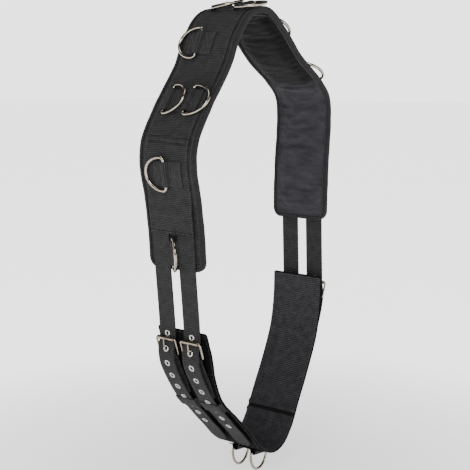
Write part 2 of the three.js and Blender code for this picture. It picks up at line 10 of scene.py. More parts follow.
import bpy
import numpy as np
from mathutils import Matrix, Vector


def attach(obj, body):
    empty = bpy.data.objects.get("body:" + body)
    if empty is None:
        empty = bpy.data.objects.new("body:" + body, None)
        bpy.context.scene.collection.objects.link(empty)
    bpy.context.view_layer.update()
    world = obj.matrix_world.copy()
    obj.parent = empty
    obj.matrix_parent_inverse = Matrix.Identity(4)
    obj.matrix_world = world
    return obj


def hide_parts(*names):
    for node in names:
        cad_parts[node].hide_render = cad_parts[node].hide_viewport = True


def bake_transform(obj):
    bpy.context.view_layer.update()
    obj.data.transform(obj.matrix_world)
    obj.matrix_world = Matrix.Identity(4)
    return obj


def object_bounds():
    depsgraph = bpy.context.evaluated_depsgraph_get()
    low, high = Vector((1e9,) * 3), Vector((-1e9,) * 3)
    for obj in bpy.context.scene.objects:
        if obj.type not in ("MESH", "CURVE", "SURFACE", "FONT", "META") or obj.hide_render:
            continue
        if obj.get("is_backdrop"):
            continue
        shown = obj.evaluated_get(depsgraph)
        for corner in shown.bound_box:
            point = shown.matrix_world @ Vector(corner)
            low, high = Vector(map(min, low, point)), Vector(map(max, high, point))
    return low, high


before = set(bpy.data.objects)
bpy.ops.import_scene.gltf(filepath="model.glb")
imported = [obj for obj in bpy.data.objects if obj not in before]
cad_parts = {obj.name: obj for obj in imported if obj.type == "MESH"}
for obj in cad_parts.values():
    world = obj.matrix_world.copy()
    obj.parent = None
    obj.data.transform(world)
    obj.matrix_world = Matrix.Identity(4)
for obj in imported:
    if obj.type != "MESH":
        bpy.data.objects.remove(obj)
cad_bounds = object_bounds()

MM = 0.001
ORIGIN = np.array([-6.698, 0.0, -390.969])  # the loop's own zero in the row frame, in mm

# ------------------------------------------------------------------ driving dimensions, in mm

GAP = 0.3
PAD_HALF, PAD_CORNER = 61.5, 18.0
PAD_EDGE, PAD_MIDDLE, PAD_SKIN = 8.7, 14.0, 1.3
BINDING_REACH, BINDING_TAPE, LIP = 9.0, 1.0, 5.6
COVER_HALF, COVER_THICK, COVER_SETBACK, COVER_RAMP = 50.0, 1.7, 62.7, 42.0
BILLET_HALF, BILLET_THICK, BILLET_Y, BILLET_OVER_PAD = 19.0, 2.2, 28.5, 2.9
RING = {"wire": 2.8, "bar": 22.5, "corner": 6.5, "depth": 43.0}
SMALL_RING = {"wire": 2.5, "bar": 18.6, "corner": 4.5, "depth": 34.0}
TAB_THICK, TAB_RISE, TAB_RAMP = 1.6, 3.0, 4.0
GIRTH_HALF, GIRTH_BAND, GIRTH_LINING, GIRTH_CORNER = 58.0, 1.8, 1.6, 4.0
LINING_INSET, LINING_SETBACK = 1.5, 2.5
CHAPE_HALF, CHAPE_LAYER, SLOT_HALF = 17.5, 1.6, 2.6
KEEPER_FROM, KEEPER_TO, KEEPER_THICK, KEEPER_FOOT = 140.0, 164.0, 1.6, 8.0
FRAME_WIRE, FRAME_HALF, FRAME_CORNER, FRAME_LENGTH = 1.8, 22.3, 3.0, 28.5
ROLLER_RADIUS, ROLLER_LENGTH, TONGUE_WIRE = 3.5, 38.0, 1.4
HEEL_IN, HEEL_OFF, HEEL_LEAN = 42.5, 14.5, math.radians(18.4)
EYELET_RADIUS, EYELET_HOLE, EYELET_PITCH, EYELETS = 6.0, 2.9, 27.3, 9
WINDOW = 3.5  # half of the square cut in a billet behind each eyelet
BILLET_EASE = 0.4  # taken off a billet's half width, so that the end rings swing past it
TIP_LENGTH, TIP_NARROW = 14.0, 0.45
UNDER_COVER = (90, 55, 22, 3)  # distances from the pad's end, where a billet lies on it
CHAPE_START = (-3.4, -0.4)
PAD_INSET, SOFT_START, SOFT_RISE = 0.6, 1.2, 22.0
OVER_BILLETS = 34.0  # length of the cover that lies over the billets
TAB_BAR_ROOM, TAB_SHORT_BY, TAB_WEAR = 0.4, 0.8, 0.1
KEEPER_RISE = (1.2, 3.6, 3.8)  # from a billet's edge: full height, flat inside, flat outside
TAIL_OVER_KEEPER = 5.0
GIRTH_TAB_BASE = 1.2
THREAD_OUT = 0.1  # how far the middle of a stitch is off the webbing
BAND_SLACK, EDGE_SLACK = 0.25, 0.055

PAD_LINE = [
    (-157, -42), (-161.5, 20), (-169.5, 78), (-181, 136), (-176.5, 178), (-142, 238),
    (-93.5, 303), (-64, 360), (-26, 398), (20, 404), (64, 374), (118, 322),
    (176, 282), (207, 249), (213, 200), (206.5, 120), (203.3, 12),
]
GIRTH_LINE = [
    (194, -98), (192, -150), (182, -207), (158, -265), (127, -326), (99, -380),
    (74, -406), (44, -413), (8, -396), (-30, -354), (-68, -316), (-103, -281),
    (-122, -238), (-131, -196), (-146, -150),
]
TAIL_OFFSETS = [
    (90, 15), (109, 10.5), (128, 7), (142, 5.2), (162, 5), (185, 5.5),
    (210, 6.5), (245, 6), (284, 4.5),
]
THREADING = [(38, -9.2), (28.5, -5.6), (10.4, 4.4), (0, 7.9), (-18.3, 9.8)]
TONGUE_HOLE = 2
TONGUE_LINE = [
    (1.9, 3.4), (4.5, 2.2), (7.6, 1.9), (9.6, 3.1), (10.8, 5.2), (12.4, 7.2),
    (16, 7.9), (23, 6.9), (29.5, 5.7),
]
CHAPE_OFFSETS = [(68, 10), (84, 5), (100, 2.2), (128, 2.2)]

NEAR, FAR = -1, 1
RING_STATIONS = [
    ("left_1", -95, (-15, 39), [(16, FAR, 0)]),
    ("left_2", -212, (-40, 44), [(30, NEAR, 11), (-17, NEAR, 0)]),
    ("left_3", -343, (-36, 25), [(-1, FAR, 0)]),
    ("left_4", -481.5, (-8.6, 8.8), [(1, NEAR, 42)]),
    ("top", 0, (-44, 40), [(24, NEAR, 8), (-28, NEAR, 0)]),
    ("right_1", 90, (-43, 11), [(-19.5, NEAR, 0)]),
    ("right_2", 212, (-44, 40), [(22, NEAR, 11), (-27, NEAR, 0)]),
    ("right_3", 343, (-36, 25), [(-1, FAR, 0)]),
    ("right_4", 481.5, (-8.6, 8.8), [(1, NEAR, 42)]),
]
OVER_BINDING = 1.7
GIRTH_RING_AT, GIRTH_TAB, GIRTH_BARS = 14.5, (-36, 38), (22.5, -21)

PAINTED_SHADE_ENDS = (205, 245)  # from the pad's middle, where the painted shade over the horse's back fades out
CREASES = [(-291, 3.4), (-281, 3.0), (-236, 0.8), (286, 2.0)]  # across the cover: place, depth
FOLDS = [
    (236, 3.2, 4.5), (291, 3.6, 5.0), (336, 1.8, 3.5), (371, 2.6, 3.5), (412, 1.6, 4.0),
    (451, 2.4, 4.0), (96, 1.4, 6.0), (-96, 1.4, 6.0), (-236, 2.4, 4.0), (-291, 3.0, 5.0),
    (-372, 2.0, 4.0), (-450, 2.0, 4.0),
]  # across the lining: place, depth, width


# ------------------------------------------------------------------ lines in the loop's plane


class Line:
    """A smooth line through points of the XZ plane. flip is -1 where it runs the other way."""

    def __init__(self, points, flip=1):
        p = np.array(points, float)
        p = np.vstack([2 * p[0] - p[1], p, 2 * p[-1] - p[-2]])
        t = np.linspace(0, 1, 80, endpoint=False)[:, None]
        parts = []
        for a, b, c, d in zip(p, p[1:], p[2:], p[3:]):
            before, span, after = (math.sqrt(np.linalg.norm(e)) for e in (b - a, c - b, d - c))
            start = ((b - a) / before - (c - a) / (before + span) + (c - b) / span) * span
            end = ((c - b) / span - (d - b) / (span + after) + (d - c) / after) * span
            cubic = 2 * (b - c) + start + end
            square = 3 * (c - b) - 2 * start - end
            parts.append(b + start * t + square * t**2 + cubic * t**3)
        self.points = np.vstack([*parts, p[-2:-1]])
        steps = np.linalg.norm(np.diff(self.points, axis=0), axis=1)
        self.at = np.concatenate([[0.0], np.cumsum(steps)])
        self.length = self.at[-1]
        tangent = np.gradient(self.points, self.at, axis=0)
        self.tangents = tangent / np.linalg.norm(tangent, axis=1)[:, None]
        self.flip = flip

    def along(self, s):
        """Points, tangents and outward normals at distances s, as rows of x and z."""
        s = np.atleast_1d(np.asarray(s, float))
        inside = np.clip(s, 0, self.length)
        origin = np.stack([np.interp(inside, self.at, self.points[:, k]) for k in (0, 1)], 1)
        tangent = np.stack([np.interp(inside, self.at, self.tangents[:, k]) for k in (0, 1)], 1)
        tangent /= np.linalg.norm(tangent, axis=1)[:, None]
        origin += tangent * (s - inside)[:, None]
        tangent = tangent * self.flip
        return origin, tangent, np.stack([-tangent[:, 1], tangent[:, 0]], 1)

    def place(self, s, y, n):
        """Points in mm at distance s, place y across and n out from the line."""
        s, y, n = np.broadcast_arrays(*(np.asarray(k, float) for k in (s, y, n)))
        origin, _, normal = self.along(s.ravel())
        flat = origin + normal * n.ravel()[:, None]
        return np.stack([flat[:, 0], y.ravel(), flat[:, 1]], 1)

    def outward(self, s, way=1):
        """Outward normals in 3D at distances s, or inward ones where way is -1."""
        normal = self.along(s)[2]
        return way * np.stack([normal[:, 0], np.zeros(len(normal)), normal[:, 1]], 1)

    def nearest(self, point):
        away = np.linalg.norm(self.points - np.array([point[0], point[-1]]), axis=1)
        return self.at[int(np.argmin(away))]


def line_through(points, flip=1):
    return Line([(p[0], p[2]) for p in points], flip)


pad_line = Line(PAD_LINE)
girth_line = Line(GIRTH_LINE)
PAD_LENGTH, GIRTH_LENGTH = pad_line.length, girth_line.length
PAD_MID, GIRTH_MID = PAD_LENGTH / 2, GIRTH_LENGTH / 2
GIRTH_STEP = GIRTH_MID - 79  # where the girth lining's two lengths meet in a fold


def smoothstep(x, low, high):
    t = np.clip((np.asarray(x, float) - low) / (high - low), 0, 1)
    return t * t * (3 - 2 * t)


def bump(x, middle, width):
    return np.exp(-(((np.asarray(x, float) - middle) / width) ** 2))


def ripple(x, y, seed):
    """Smooth unevenness from -1 to 1, at places x, y in mm, from a few turned waves."""
    x, y = np.asarray(x, float), np.asarray(y, float)
    total = 0.0
    for k in range(5):
        turn = seed * 1.7 + k * 2.4
        pitch = 0.05 * 1.45**k
        total = total + np.sin((x * math.cos(turn) + y * math.sin(turn)) * pitch + turn * 3) / 5
    return total


# ------------------------------------------------------------------ meshes


def dress(mesh, uv, material):
    """Gives a mesh a UV map, with a row in mm for each point, smooth shading and a material."""
    layer = mesh.uv_layers.get("Metres") or mesh.uv_layers.new(name="Metres")
    loops = np.empty(len(mesh.loops), np.int32)
    mesh.loops.foreach_get("vertex_index", loops)
    layer.data.foreach_set("uv", (np.asarray(uv, float)[loops] * MM).ravel())
    mesh.polygons.foreach_set("use_smooth", [True] * len(mesh.polygons))
    if not mesh.materials:
        mesh.materials.append(material)


def mesh_piece(name, points, faces, uv, material):
    """A mesh object from points in mm of the loop's plane. uv is in mm for each point."""
    mesh = bpy.data.meshes.new(name)
    corners = (np.asarray(points, float) + ORIGIN) * MM
    mesh.from_pydata(corners.tolist(), [], faces)
    mesh.update()
    dress(mesh, uv, material)
    piece = bpy.data.objects.new(name, mesh)
    bpy.context.scene.collection.objects.link(piece)
    return piece


def grid_faces(rows, columns, around, first=0):
    """Faces of a surface whose columns close round, and whose rows close round or are capped."""
    faces = []
    for i in range(rows if around else rows - 1):
        a, b = first + i * columns, first + ((i + 1) % rows) * columns
        for j in range(columns):
            k = (j + 1) % columns
            faces.append((a + j, a + k, b + k, b + j))
    if not around:
        end = first + (rows - 1) * columns
        faces.append(tuple(range(first + columns - 1, first - 1, -1)))
        faces.append(tuple(range(end, end + columns)))
    return faces


def outwards(points, faces):
    """The faces, turned round if they look into the solid."""
    p = np.asarray(points, float)
    volume = 0.0
    for face in faces:
        for b, c in zip(face[1:], face[2:]):
            volume += np.dot(p[face[0]], np.cross(p[b], p[c]))
    return faces if volume > 0 else [tuple(reversed(face)) for face in faces]


class Build:
    """Collects closed surfaces that become one piece."""

    def __init__(self):
        self.points, self.uv, self.faces, self.count = [], [], [], 0

    def add(self, points, uv, faces):
        self.faces += [tuple(self.count + k for k in face) for face in outwards(points, faces)]
        self.points.append(np.asarray(points, float))
        self.uv.append(np.asarray(uv, float))
        self.count += len(points)
        return self

    def sweep(self, sections, uv, around=False):
        """A surface through closed sections, each a row of 3D points with its uv rows."""
        rows, columns = len(sections), len(sections[0])
        self.add(np.vstack(sections), np.vstack(uv), grid_faces(rows, columns, around))
        return self

    def piece(self, name, material):
        return mesh_piece(name, np.vstack(self.points), self.faces, np.vstack(self.uv), material)


def band_section(half, low, high, columns, soft=0.55):
    """Closed section of a woven band as (y, n): columns on both faces and a rounded edge."""
    inner = half - soft
    ys = np.linspace(-inner, inner, columns)
    ys = np.concatenate([[-half + soft * 0.35], ys, [half - soft * 0.35]])
    shave = np.zeros(len(ys))
    shave[[0, -1]] = min(0.35 * (high - low), 0.4)
    top = np.stack([ys, high - shave], 1)
    bottom = np.stack([ys[::-1], low + shave[::-1]], 1)
    middle = (low + high) / 2
    return np.vstack([top, [[half, middle]], bottom, [[-half, middle]]])


def spaced(start, end, step):
    return np.linspace(start, end, max(2, int(round(abs(end - start) / step)) + 1))


def band(line, stations, section):
    """Sections of a band along a line. section(s) gives its (y, n) rows."""
    sections, uv = [], []
    for s in stations:
        rows = section(s)
        sections.append(line.place(s, rows[:, 0], rows[:, 1]))
        uv.append(np.stack([np.full(len(rows), s), rows[:, 0]], 1))
    return sections, uv


def tube(build, path, radius, sides=14, around=False, normal=None):
    """Round wire along a flat path of 3D points. normal is at right angles to its plane."""
    path = np.asarray(path, float)
    count = len(path)
    radii = np.broadcast_to(np.asarray(radius, float), (count,))
    if around:
        tangent = np.roll(path, -1, 0) - np.roll(path, 1, 0)
    else:
        tangent = np.gradient(path, axis=0)
    tangent /= np.linalg.norm(tangent, axis=1)[:, None]
    side = np.cross(tangent, normal)
    angles = np.linspace(0, 2 * math.pi, sides, endpoint=False)
    sections, uv = [], []
    for k in range(count):
        ring = np.outer(np.cos(angles), side[k]) + np.outer(np.sin(angles), normal)
        sections.append(path[k] + ring * radii[k])
        uv.append(np.stack([np.full(sides, float(k)), angles * radii[k]], 1))
    build.sweep(sections, uv, around)


def lathe(build, profile, middle, axis, across, sides=40):
    """A closed (radius, height) profile turned round an axis."""
    turn = np.cross(axis, across)
    sections, uv = [], []
    for angle in np.linspace(0, 2 * math.pi, sides, endpoint=False):
        out = np.asarray(across) * math.cos(angle) + turn * math.sin(angle)
        sections.append([middle + out * r + np.asarray(axis) * h for r, h in profile])
        uv.append([(angle * 5, h) for _, h in profile])
    build.sweep(sections, uv, True)


# ------------------------------------------------------------------ materials


class Nodes:
    """Short ways to add nodes to one material."""

    def __init__(self, name):
        self.material = bpy.data.materials.new(name)
        self.material.use_nodes = True
        self.tree = self.material.node_tree
        self.shader = self.tree.nodes["Principled BSDF"]

    def new(self, kind):
        return self.tree.nodes.new("ShaderNode" + kind)

    def set(self, **values):
        for name, value in values.items():
            self.link(value, self.shader.inputs[name.replace("_", " ")])

    def link(self, value, socket):
        if isinstance(value, (int, float, tuple)):
            socket.default_value = value
        else:
            self.tree.links.new(value, socket)

    def math(self, operation, a, b=0.0):
        node = self.new("Math")
        node.operation = operation
        self.link(a, node.inputs[0])
        self.link(b, node.inputs[1])
        return node.outputs[0]

    def total(self, *parts, plus=0.0):
        """The sum of parts, each a value and its weight."""
        terms = [self.math("MULTIPLY", value, weight) for value, weight in parts]
        if plus:
            terms.append(plus)
        while len(terms) > 1:
            terms[:2] = [self.math("ADD", terms[0], terms[1])]
        return terms[0]

    def metres(self):
        """u and v of the piece, in metres."""
        node = self.new("UVMap")
        node.uv_map = "Metres"
        split = self.new("SeparateXYZ")
        self.link(node.outputs[0], split.inputs[0])
        return node.outputs[0], split.outputs[0], split.outputs[1]

    def wave(self, place, pitch_mm):
        """0 to 1 and back over each pitch."""
        turn = self.math("MULTIPLY", place, 2 * math.pi / (pitch_mm * MM))
        return self.math("MULTIPLY", self.math("ADD", self.math("SINE", turn), 1.0), 0.5)

    def stretched(self, vector, along, across):
        node = self.new("VectorMath")
        node.operation = "MULTIPLY"
        node.inputs[1].default_value = (along, across, 1.0)
        self.link(vector, node.inputs[0])
        return node.outputs[0]

    def noise(self, vector, size_mm, detail=3.0):
        node = self.new("TexNoise")
        node.inputs["Scale"].default_value = 1 / (size_mm * MM)
        node.inputs["Detail"].default_value = detail
        self.link(vector, node.inputs["Vector"])
        return node.outputs[0]

    def rise(self, value, low, high):
        """0 to 1 as value goes from low to high."""
        node = self.new("MapRange")
        node.inputs["From Min"].default_value = low
        node.inputs["From Max"].default_value = high
        self.link(value, node.inputs["Value"])
        return node.outputs[0]

    def ramp(self, value, low, high, dark, light):
        """Colour from dark to light as value goes from low to high."""
        mix = self.new("Mix")
        mix.data_type = "RGBA"
        self.link(self.rise(value, low, high), mix.inputs["Factor"])
        mix.inputs["A"].default_value = (*dark, 1)
        mix.inputs["B"].default_value = (*light, 1)
        return mix.outputs["Result"]

    def bump(self, height, distance_mm, strength=1.0):
        node = self.new("Bump")
        node.inputs["Strength"].default_value = strength
        node.inputs["Distance"].default_value = distance_mm * MM
        self.link(height, node.inputs["Height"])
        self.link(node.outputs[0], self.shader.inputs["Normal"])


WEBBING_ROUGH = 0.72


def webbing(name, dark, light, rib, yarn, relief, sheen=0.04, specular=0.1, fold=None):
    """Woven nylon: ribs across, fine yarns along, uneven dye. Where fold is given, shade is painted
    dark along that line.
    """
    n = Nodes(name)
    where, u, v = n.metres()
    patches = n.noise(where, 14.0)
    slub = n.noise(where, 2.2, 2.0)
    wobble = n.math("MULTIPLY", n.math("SUBTRACT", slub, 0.5), 0.0009)
    ribs = n.wave(n.math("ADD", u, wobble), rib)
    yarns = n.wave(v, yarn)
    weave = n.total((ribs, 0.62), (yarns, 0.2))
    tone = n.total((weave, 0.45), (patches, 0.4), (slub, 0.3))
    # Painted shade: the tone drops to dark within a few mm of the fold line.
    if fold:
        away = n.math("ABSOLUTE", n.math("SUBTRACT", u, fold * MM))
        shade = n.math("SUBTRACT", 1.0, n.rise(away, 1.6 * MM, 4.2 * MM))
        tone = n.math("SUBTRACT", tone, shade)
    n.set(Base_Color=n.ramp(tone, 0.3, 0.85, dark, light))
    n.set(Roughness=n.total((patches, 0.16), plus=WEBBING_ROUGH))
    n.bump(weave, relief)
    n.set(Sheen_Weight=sheen, Sheen_Roughness=0.45, Specular_IOR_Level=specular)
    return n.material


def lining_cloth(name, dark, light):
    """Soft brushed twill, with painted shade making it darker over the horse's back."""
    n = Nodes(name)
    where, u, v = n.metres()
    creases = n.noise(n.stretched(where, 2.2, 0.7), 26.0, 4.0)
    fluff = n.noise(where, 1.6, 3.0)
    twill = n.wave(n.math("ADD", u, n.math("MULTIPLY", v, 0.6)), 1.5)
    picks = n.wave(v, 1.1)
    weave = n.total((twill, 0.5), (picks, 0.3))
    tone = n.total((weave, 0.25), (creases, 0.45), (fluff, 0.25), plus=0.1)
    # Painted shade: the lining's tone is lowered near the pad's middle, where the inside of the arch
    # lies in shadow.
    from_mid = n.math("ABSOLUTE", n.math("SUBTRACT", u, PAD_MID * MM))
    clear_of_painted_shade = n.rise(from_mid, PAINTED_SHADE_ENDS[0] * MM, PAINTED_SHADE_ENDS[1] * MM)
    tone = n.math("SUBTRACT", tone, n.math("MULTIPLY", n.math("SUBTRACT", 1.0, clear_of_painted_shade), 0.36))
    n.set(Base_Color=n.ramp(tone, 0.3, 0.8, dark, light))
    n.set(Roughness=n.total((fluff, 0.1), plus=0.84))
    n.bump(n.total((creases, 1.6), (weave, 0.18)), 1.8, 0.8)
    n.set(Sheen_Weight=0.05, Sheen_Roughness=0.5, Specular_IOR_Level=0.06)
    return n.material


def thread(name, color):
    n = Nodes(name)
    where, u, _ = n.metres()
    ply = n.wave(u, 0.5)
    lint = n.noise(where, 3.0, 2.0)
    shade = n.total((ply, 0.4), (lint, 0.6))
    dark = tuple(c * 0.6 for c in color)
    n.set(Base_Color=n.ramp(shade, 0.2, 0.9, dark, color))
    n.set(Roughness=n.total((lint, 0.2), plus=0.42))
    n.bump(ply, 0.1)
    n.set(Sheen_Weight=0.2, Specular_IOR_Level=0.4)
    return n.material


def plated(name, worn, bright, rough):
    """Plated metal: fine wear in tone and roughness, and small dents from casting and use."""
    n = Nodes(name)
    where = n.new("TexCoord").outputs["Object"]
    wear = n.noise(where, 6.0, 4.0)
    fine = n.noise(where, 0.7, 2.0)
    n.set(Base_Color=n.ramp(wear, 0.2, 0.8, worn, bright))
    blotch = n.math("MULTIPLY", n.math("SUBTRACT", wear, 0.4), 0.35)
    n.set(Roughness=n.math("ADD", blotch, rough))
    n.bump(n.total((wear, 1.0), (fine, 0.05)), 0.15, 0.35)
    n.set(Metallic=1.0, Specular_IOR_Level=0.5, Coat_Weight=0.15, Coat_Roughness=0.12)
    return n.material


BLACK_WEBBING = webbing(
    "ribbed_webbing", (0.004, 0.004, 0.0043), (0.036, 0.036, 0.0375), 3.1, 1.4, 0.8
)
STRAP_WEBBING = webbing(
    "strap_webbing", (0.006, 0.006, 0.0063), (0.036, 0.036, 0.0375), 3.3, 1.2, 0.6
)
# Blacker than the other webbing: partly the girth's own darker black, partly painted shade for the
# girth's shaded lower side.
GIRTH_WEBBING = webbing(
    "girth_webbing", (0.0025, 0.0025, 0.0025), (0.01, 0.01, 0.0103), 3.1, 1.3, 0.5, 0.0, 0.03
)
TAPE = webbing("binding_tape", (0.006, 0.006, 0.0065), (0.024, 0.024, 0.0255), 1.6, 0.9, 0.25)
LINING = lining_cloth("lining_cloth", (0.004, 0.0039, 0.0046), (0.052, 0.051, 0.0585))
# The girth lining carries a painted shade line along its fold at GIRTH_STEP.
GIRTH_LINING_WEB = webbing(
    "girth_lining_web", (0.0035, 0.0035, 0.004), (0.05, 0.0492, 0.0548), 3.7, 1.2, 0.5,
    fold=GIRTH_STEP,
)
THREAD = thread("black_thread", (0.022, 0.022, 0.023))
NICKEL = plated("warm_nickel", (0.16, 0.135, 0.105), (0.4, 0.355, 0.295), 0.13)
ROLLED = plated("rolled_nickel", (0.15, 0.122, 0.09), (0.34, 0.29, 0.22), 0.2)
BRIGHT = plated("bright_eyelet", (0.36, 0.345, 0.32), (0.62, 0.6, 0.57), 0.17)


def finished(piece, body, slot, *nodes):
    """The piece rides on a body and stands for CAD nodes, which it hides. slot is not used."""
    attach(piece, body)
    if nodes:
        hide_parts(*nodes)
    return piece


# ------------------------------------------------------------------ stitching

STITCH = {"pitch": 3.4, "length": 2.5, "radius": 0.32}


class Seams:
    """All the thread on one body: rows of short raised stitches."""

    def __init__(self):
        bulge = [(-0.5, 0.0), (-0.36, 0.8), (0.0, 1.0), (0.36, 0.8), (0.5, 0.0)]
        angles = np.linspace(0, 2 * math.pi, 5, endpoint=False)
        rings = [[(a, r * math.cos(t), r * math.sin(t)) for t in angles] for a, r in bulge[1:-1]]
        self.shape = np.array([(-0.5, 0, 0), *sum(rings, []), (0.5, 0, 0)])
        self.faces = []
        for j in range(5):
            k = (j + 1) % 5
            self.faces.append((0, 1 + k, 1 + j))
            self.faces.append((16, 11 + j, 11 + k))
            for i in (1, 6):
                self.faces.append((i + j, i + k, i + 5 + k, i + 5 + j))
        self.points, self.uv, self.all_faces, self.count = [], [], [], 0

    def row(self, path, normals):
        """Stitches along a path of 3D points, lying on a surface with these normals."""
        path, normals = np.asarray(path, float), np.asarray(normals, float)
        steps = np.linalg.norm(np.diff(path, axis=0), axis=1)
        at = np.concatenate([[0.0], np.cumsum(steps)])
        count = max(1, int(at[-1] / STITCH["pitch"]))
        middles = (np.arange(count) + 0.5) * at[-1] / count
        pick = lambda rows, s: np.stack([np.interp(s, at, rows[:, k]) for k in range(3)], 1)
        centre = pick(path, middles)
        along = pick(path, middles + 0.5) - pick(path, middles - 0.5)
        along /= np.linalg.norm(along, axis=1)[:, None]
        up = pick(normals, middles)
        side = np.cross(along, up)
        a, b, c = self.shape.T
        scale, radius = STITCH["length"], STITCH["radius"]
        points = centre[:, None] + along[:, None] * (a * scale)[None, :, None]
        points = points + side[:, None] * (b * radius)[None, :, None]
        points = points + up[:, None] * (c * radius)[None, :, None]
        for k in range(count):
            first = self.count + 17 * k
            self.all_faces += [tuple(first + i for i in face) for face in self.faces]
        self.count += 17 * count
        self.points.append(points.reshape(-1, 3))
        self.uv.append(np.tile(np.stack([a * scale, b], 1), (count, 1)))

    def on(self, line, start, end, out):
        """A row on a band from (s, y) to (s, y), out mm off its line."""
        count = max(2, int(max(abs(end[0] - start[0]), abs(end[1] - start[1])) / 3) + 2)
        s, y = np.linspace(start[0], end[0], count), np.linspace(start[1], end[1], count)
        lift = out(s, y) if callable(out) else np.full(count, float(out))
        self.row(line.place(s, y, lift), line.outward(s))

    def piece(self, name, body, slot):
        made = mesh_piece(name, np.vstack(self.points), self.all_faces, np.vstack(self.uv), THREAD)
        return finished(made, body, slot)


pad_seams, girth_seams = Seams(), Seams()


# ------------------------------------------------------------------ pad


def from_end(s, length):
    return np.minimum(s, length - np.asarray(s, float))


def pad_half(s, inset):
    radius = PAD_CORNER - inset
    rest = radius - np.clip(from_end(s, PAD_LENGTH) - inset, 0, radius)
    return PAD_HALF - inset - radius + np.sqrt(np.maximum(radius**2 - rest**2, 0))


def pad_inner(s, y):
    """The inner face of the padding: thin under the binding, full along the middle."""
    edge = PAD_HALF - np.abs(y)
    reach = np.minimum(edge, from_end(s, PAD_LENGTH)) - BINDING_REACH - SOFT_START
    rise = smoothstep(reach, 0, SOFT_RISE)
    return -PAD_EDGE - (PAD_MIDDLE - PAD_EDGE) * rise


def pad_stations(inset, step):
    round_end = inset + (PAD_CORNER - inset) * (1 - np.cos(np.linspace(0.12, math.pi / 2, 9)))
    plain = spaced(PAD_CORNER + step * 0.6, PAD_LENGTH - PAD_CORNER - step * 0.6, step)
    return np.sort(np.concatenate([round_end, plain, PAD_LENGTH - round_end]))


def pad_layer(inset, step, columns, low, high):
    def section(s):
        half = float(pad_half(s, inset))
        ys = np.linspace(-half, half, columns)
        top = np.stack([ys, high(s, ys)], 1)
        bottom = np.stack([ys[::-1], low(s, ys[::-1])], 1)
        return np.vstack([top, bottom])

    return Build().sweep(*band(pad_line, pad_stations(inset, step), section))


def on_pad(points):
    """Distance along the pad, place across, and height out from its line, of points in mm."""
    _, _, normals = pad_line.along(pad_line.at)
    flat = points[:, [0, 2]]
    nearest = np.empty(len(flat), int)
    for first in range(0, len(flat), 4000):
        part = flat[first : first + 4000, None] - pad_line.points[None]
        nearest[first : first + 4000] = np.argmin((part**2).sum(2), 1)
    out = ((flat - pad_line.points[nearest]) * normals[nearest]).sum(1)
    return pad_line.at[nearest], points[:, 1], out, normals[nearest]


def read_points(mesh):
    co = np.empty(len(mesh.vertices) * 3)
    mesh.vertices.foreach_get("co", co)
    return co.reshape(-1, 3) / MM - ORIGIN


def write_points(mesh, points):
    mesh.vertices.foreach_set("co", ((points + ORIGIN) * MM).ravel())
    mesh.update()


def applied(piece):
    """The piece's mesh with its modifiers, in place of its own."""
    graph = bpy.context.evaluated_depsgraph_get()
    made = bpy.data.meshes.new_from_object(piece.evaluated_get(graph))
    piece.modifiers.clear()
    piece.data = made
    return made


def inflate(piece, held, pressure, most_mm):
    """Blows the cloth up against the seams that hold it, then caps how far each point went."""
    before = read_points(piece.data)
    group = piece.vertex_groups.new(name="held")
    for k in np.nonzero(held > 0.01)[0]:
        group.add([int(k)], float(held[k]), "REPLACE")
    cloth = piece.modifiers.new("cloth", "CLOTH")
    cloth.settings.quality = 5
    cloth.settings.mass = 0.25
    cloth.settings.tension_stiffness = 22
    cloth.settings.compression_stiffness = 8
    cloth.settings.bending_stiffness = 0.4
    cloth.settings.use_pressure = True
    cloth.settings.uniform_pressure_force = pressure
    cloth.settings.effector_weights.gravity = 0
    cloth.settings.vertex_group_mass = "held"
    cloth.settings.shrink_min = -0.035
    cloth.point_cache.frame_start, cloth.point_cache.frame_end = 1, 20
    for k in range(1, 21):
        bpy.context.scene.frame_set(k)
    after = read_points(applied(piece))
    bpy.context.scene.frame_set(1)
    move = after - before
    far = np.linalg.norm(move, axis=1)[:, None]
    move *= np.minimum(far, most_mm) / np.maximum(far, 1e-6)
    return before + np.nan_to_num(move)


VOXEL, PRESSURE, MOST_SWELL = 4.2, 4.0, 2.2  # mm, cloth pressure, mm
PANEL = (312, 366)  # a panel of the lining, sewn across at these distances from the middle


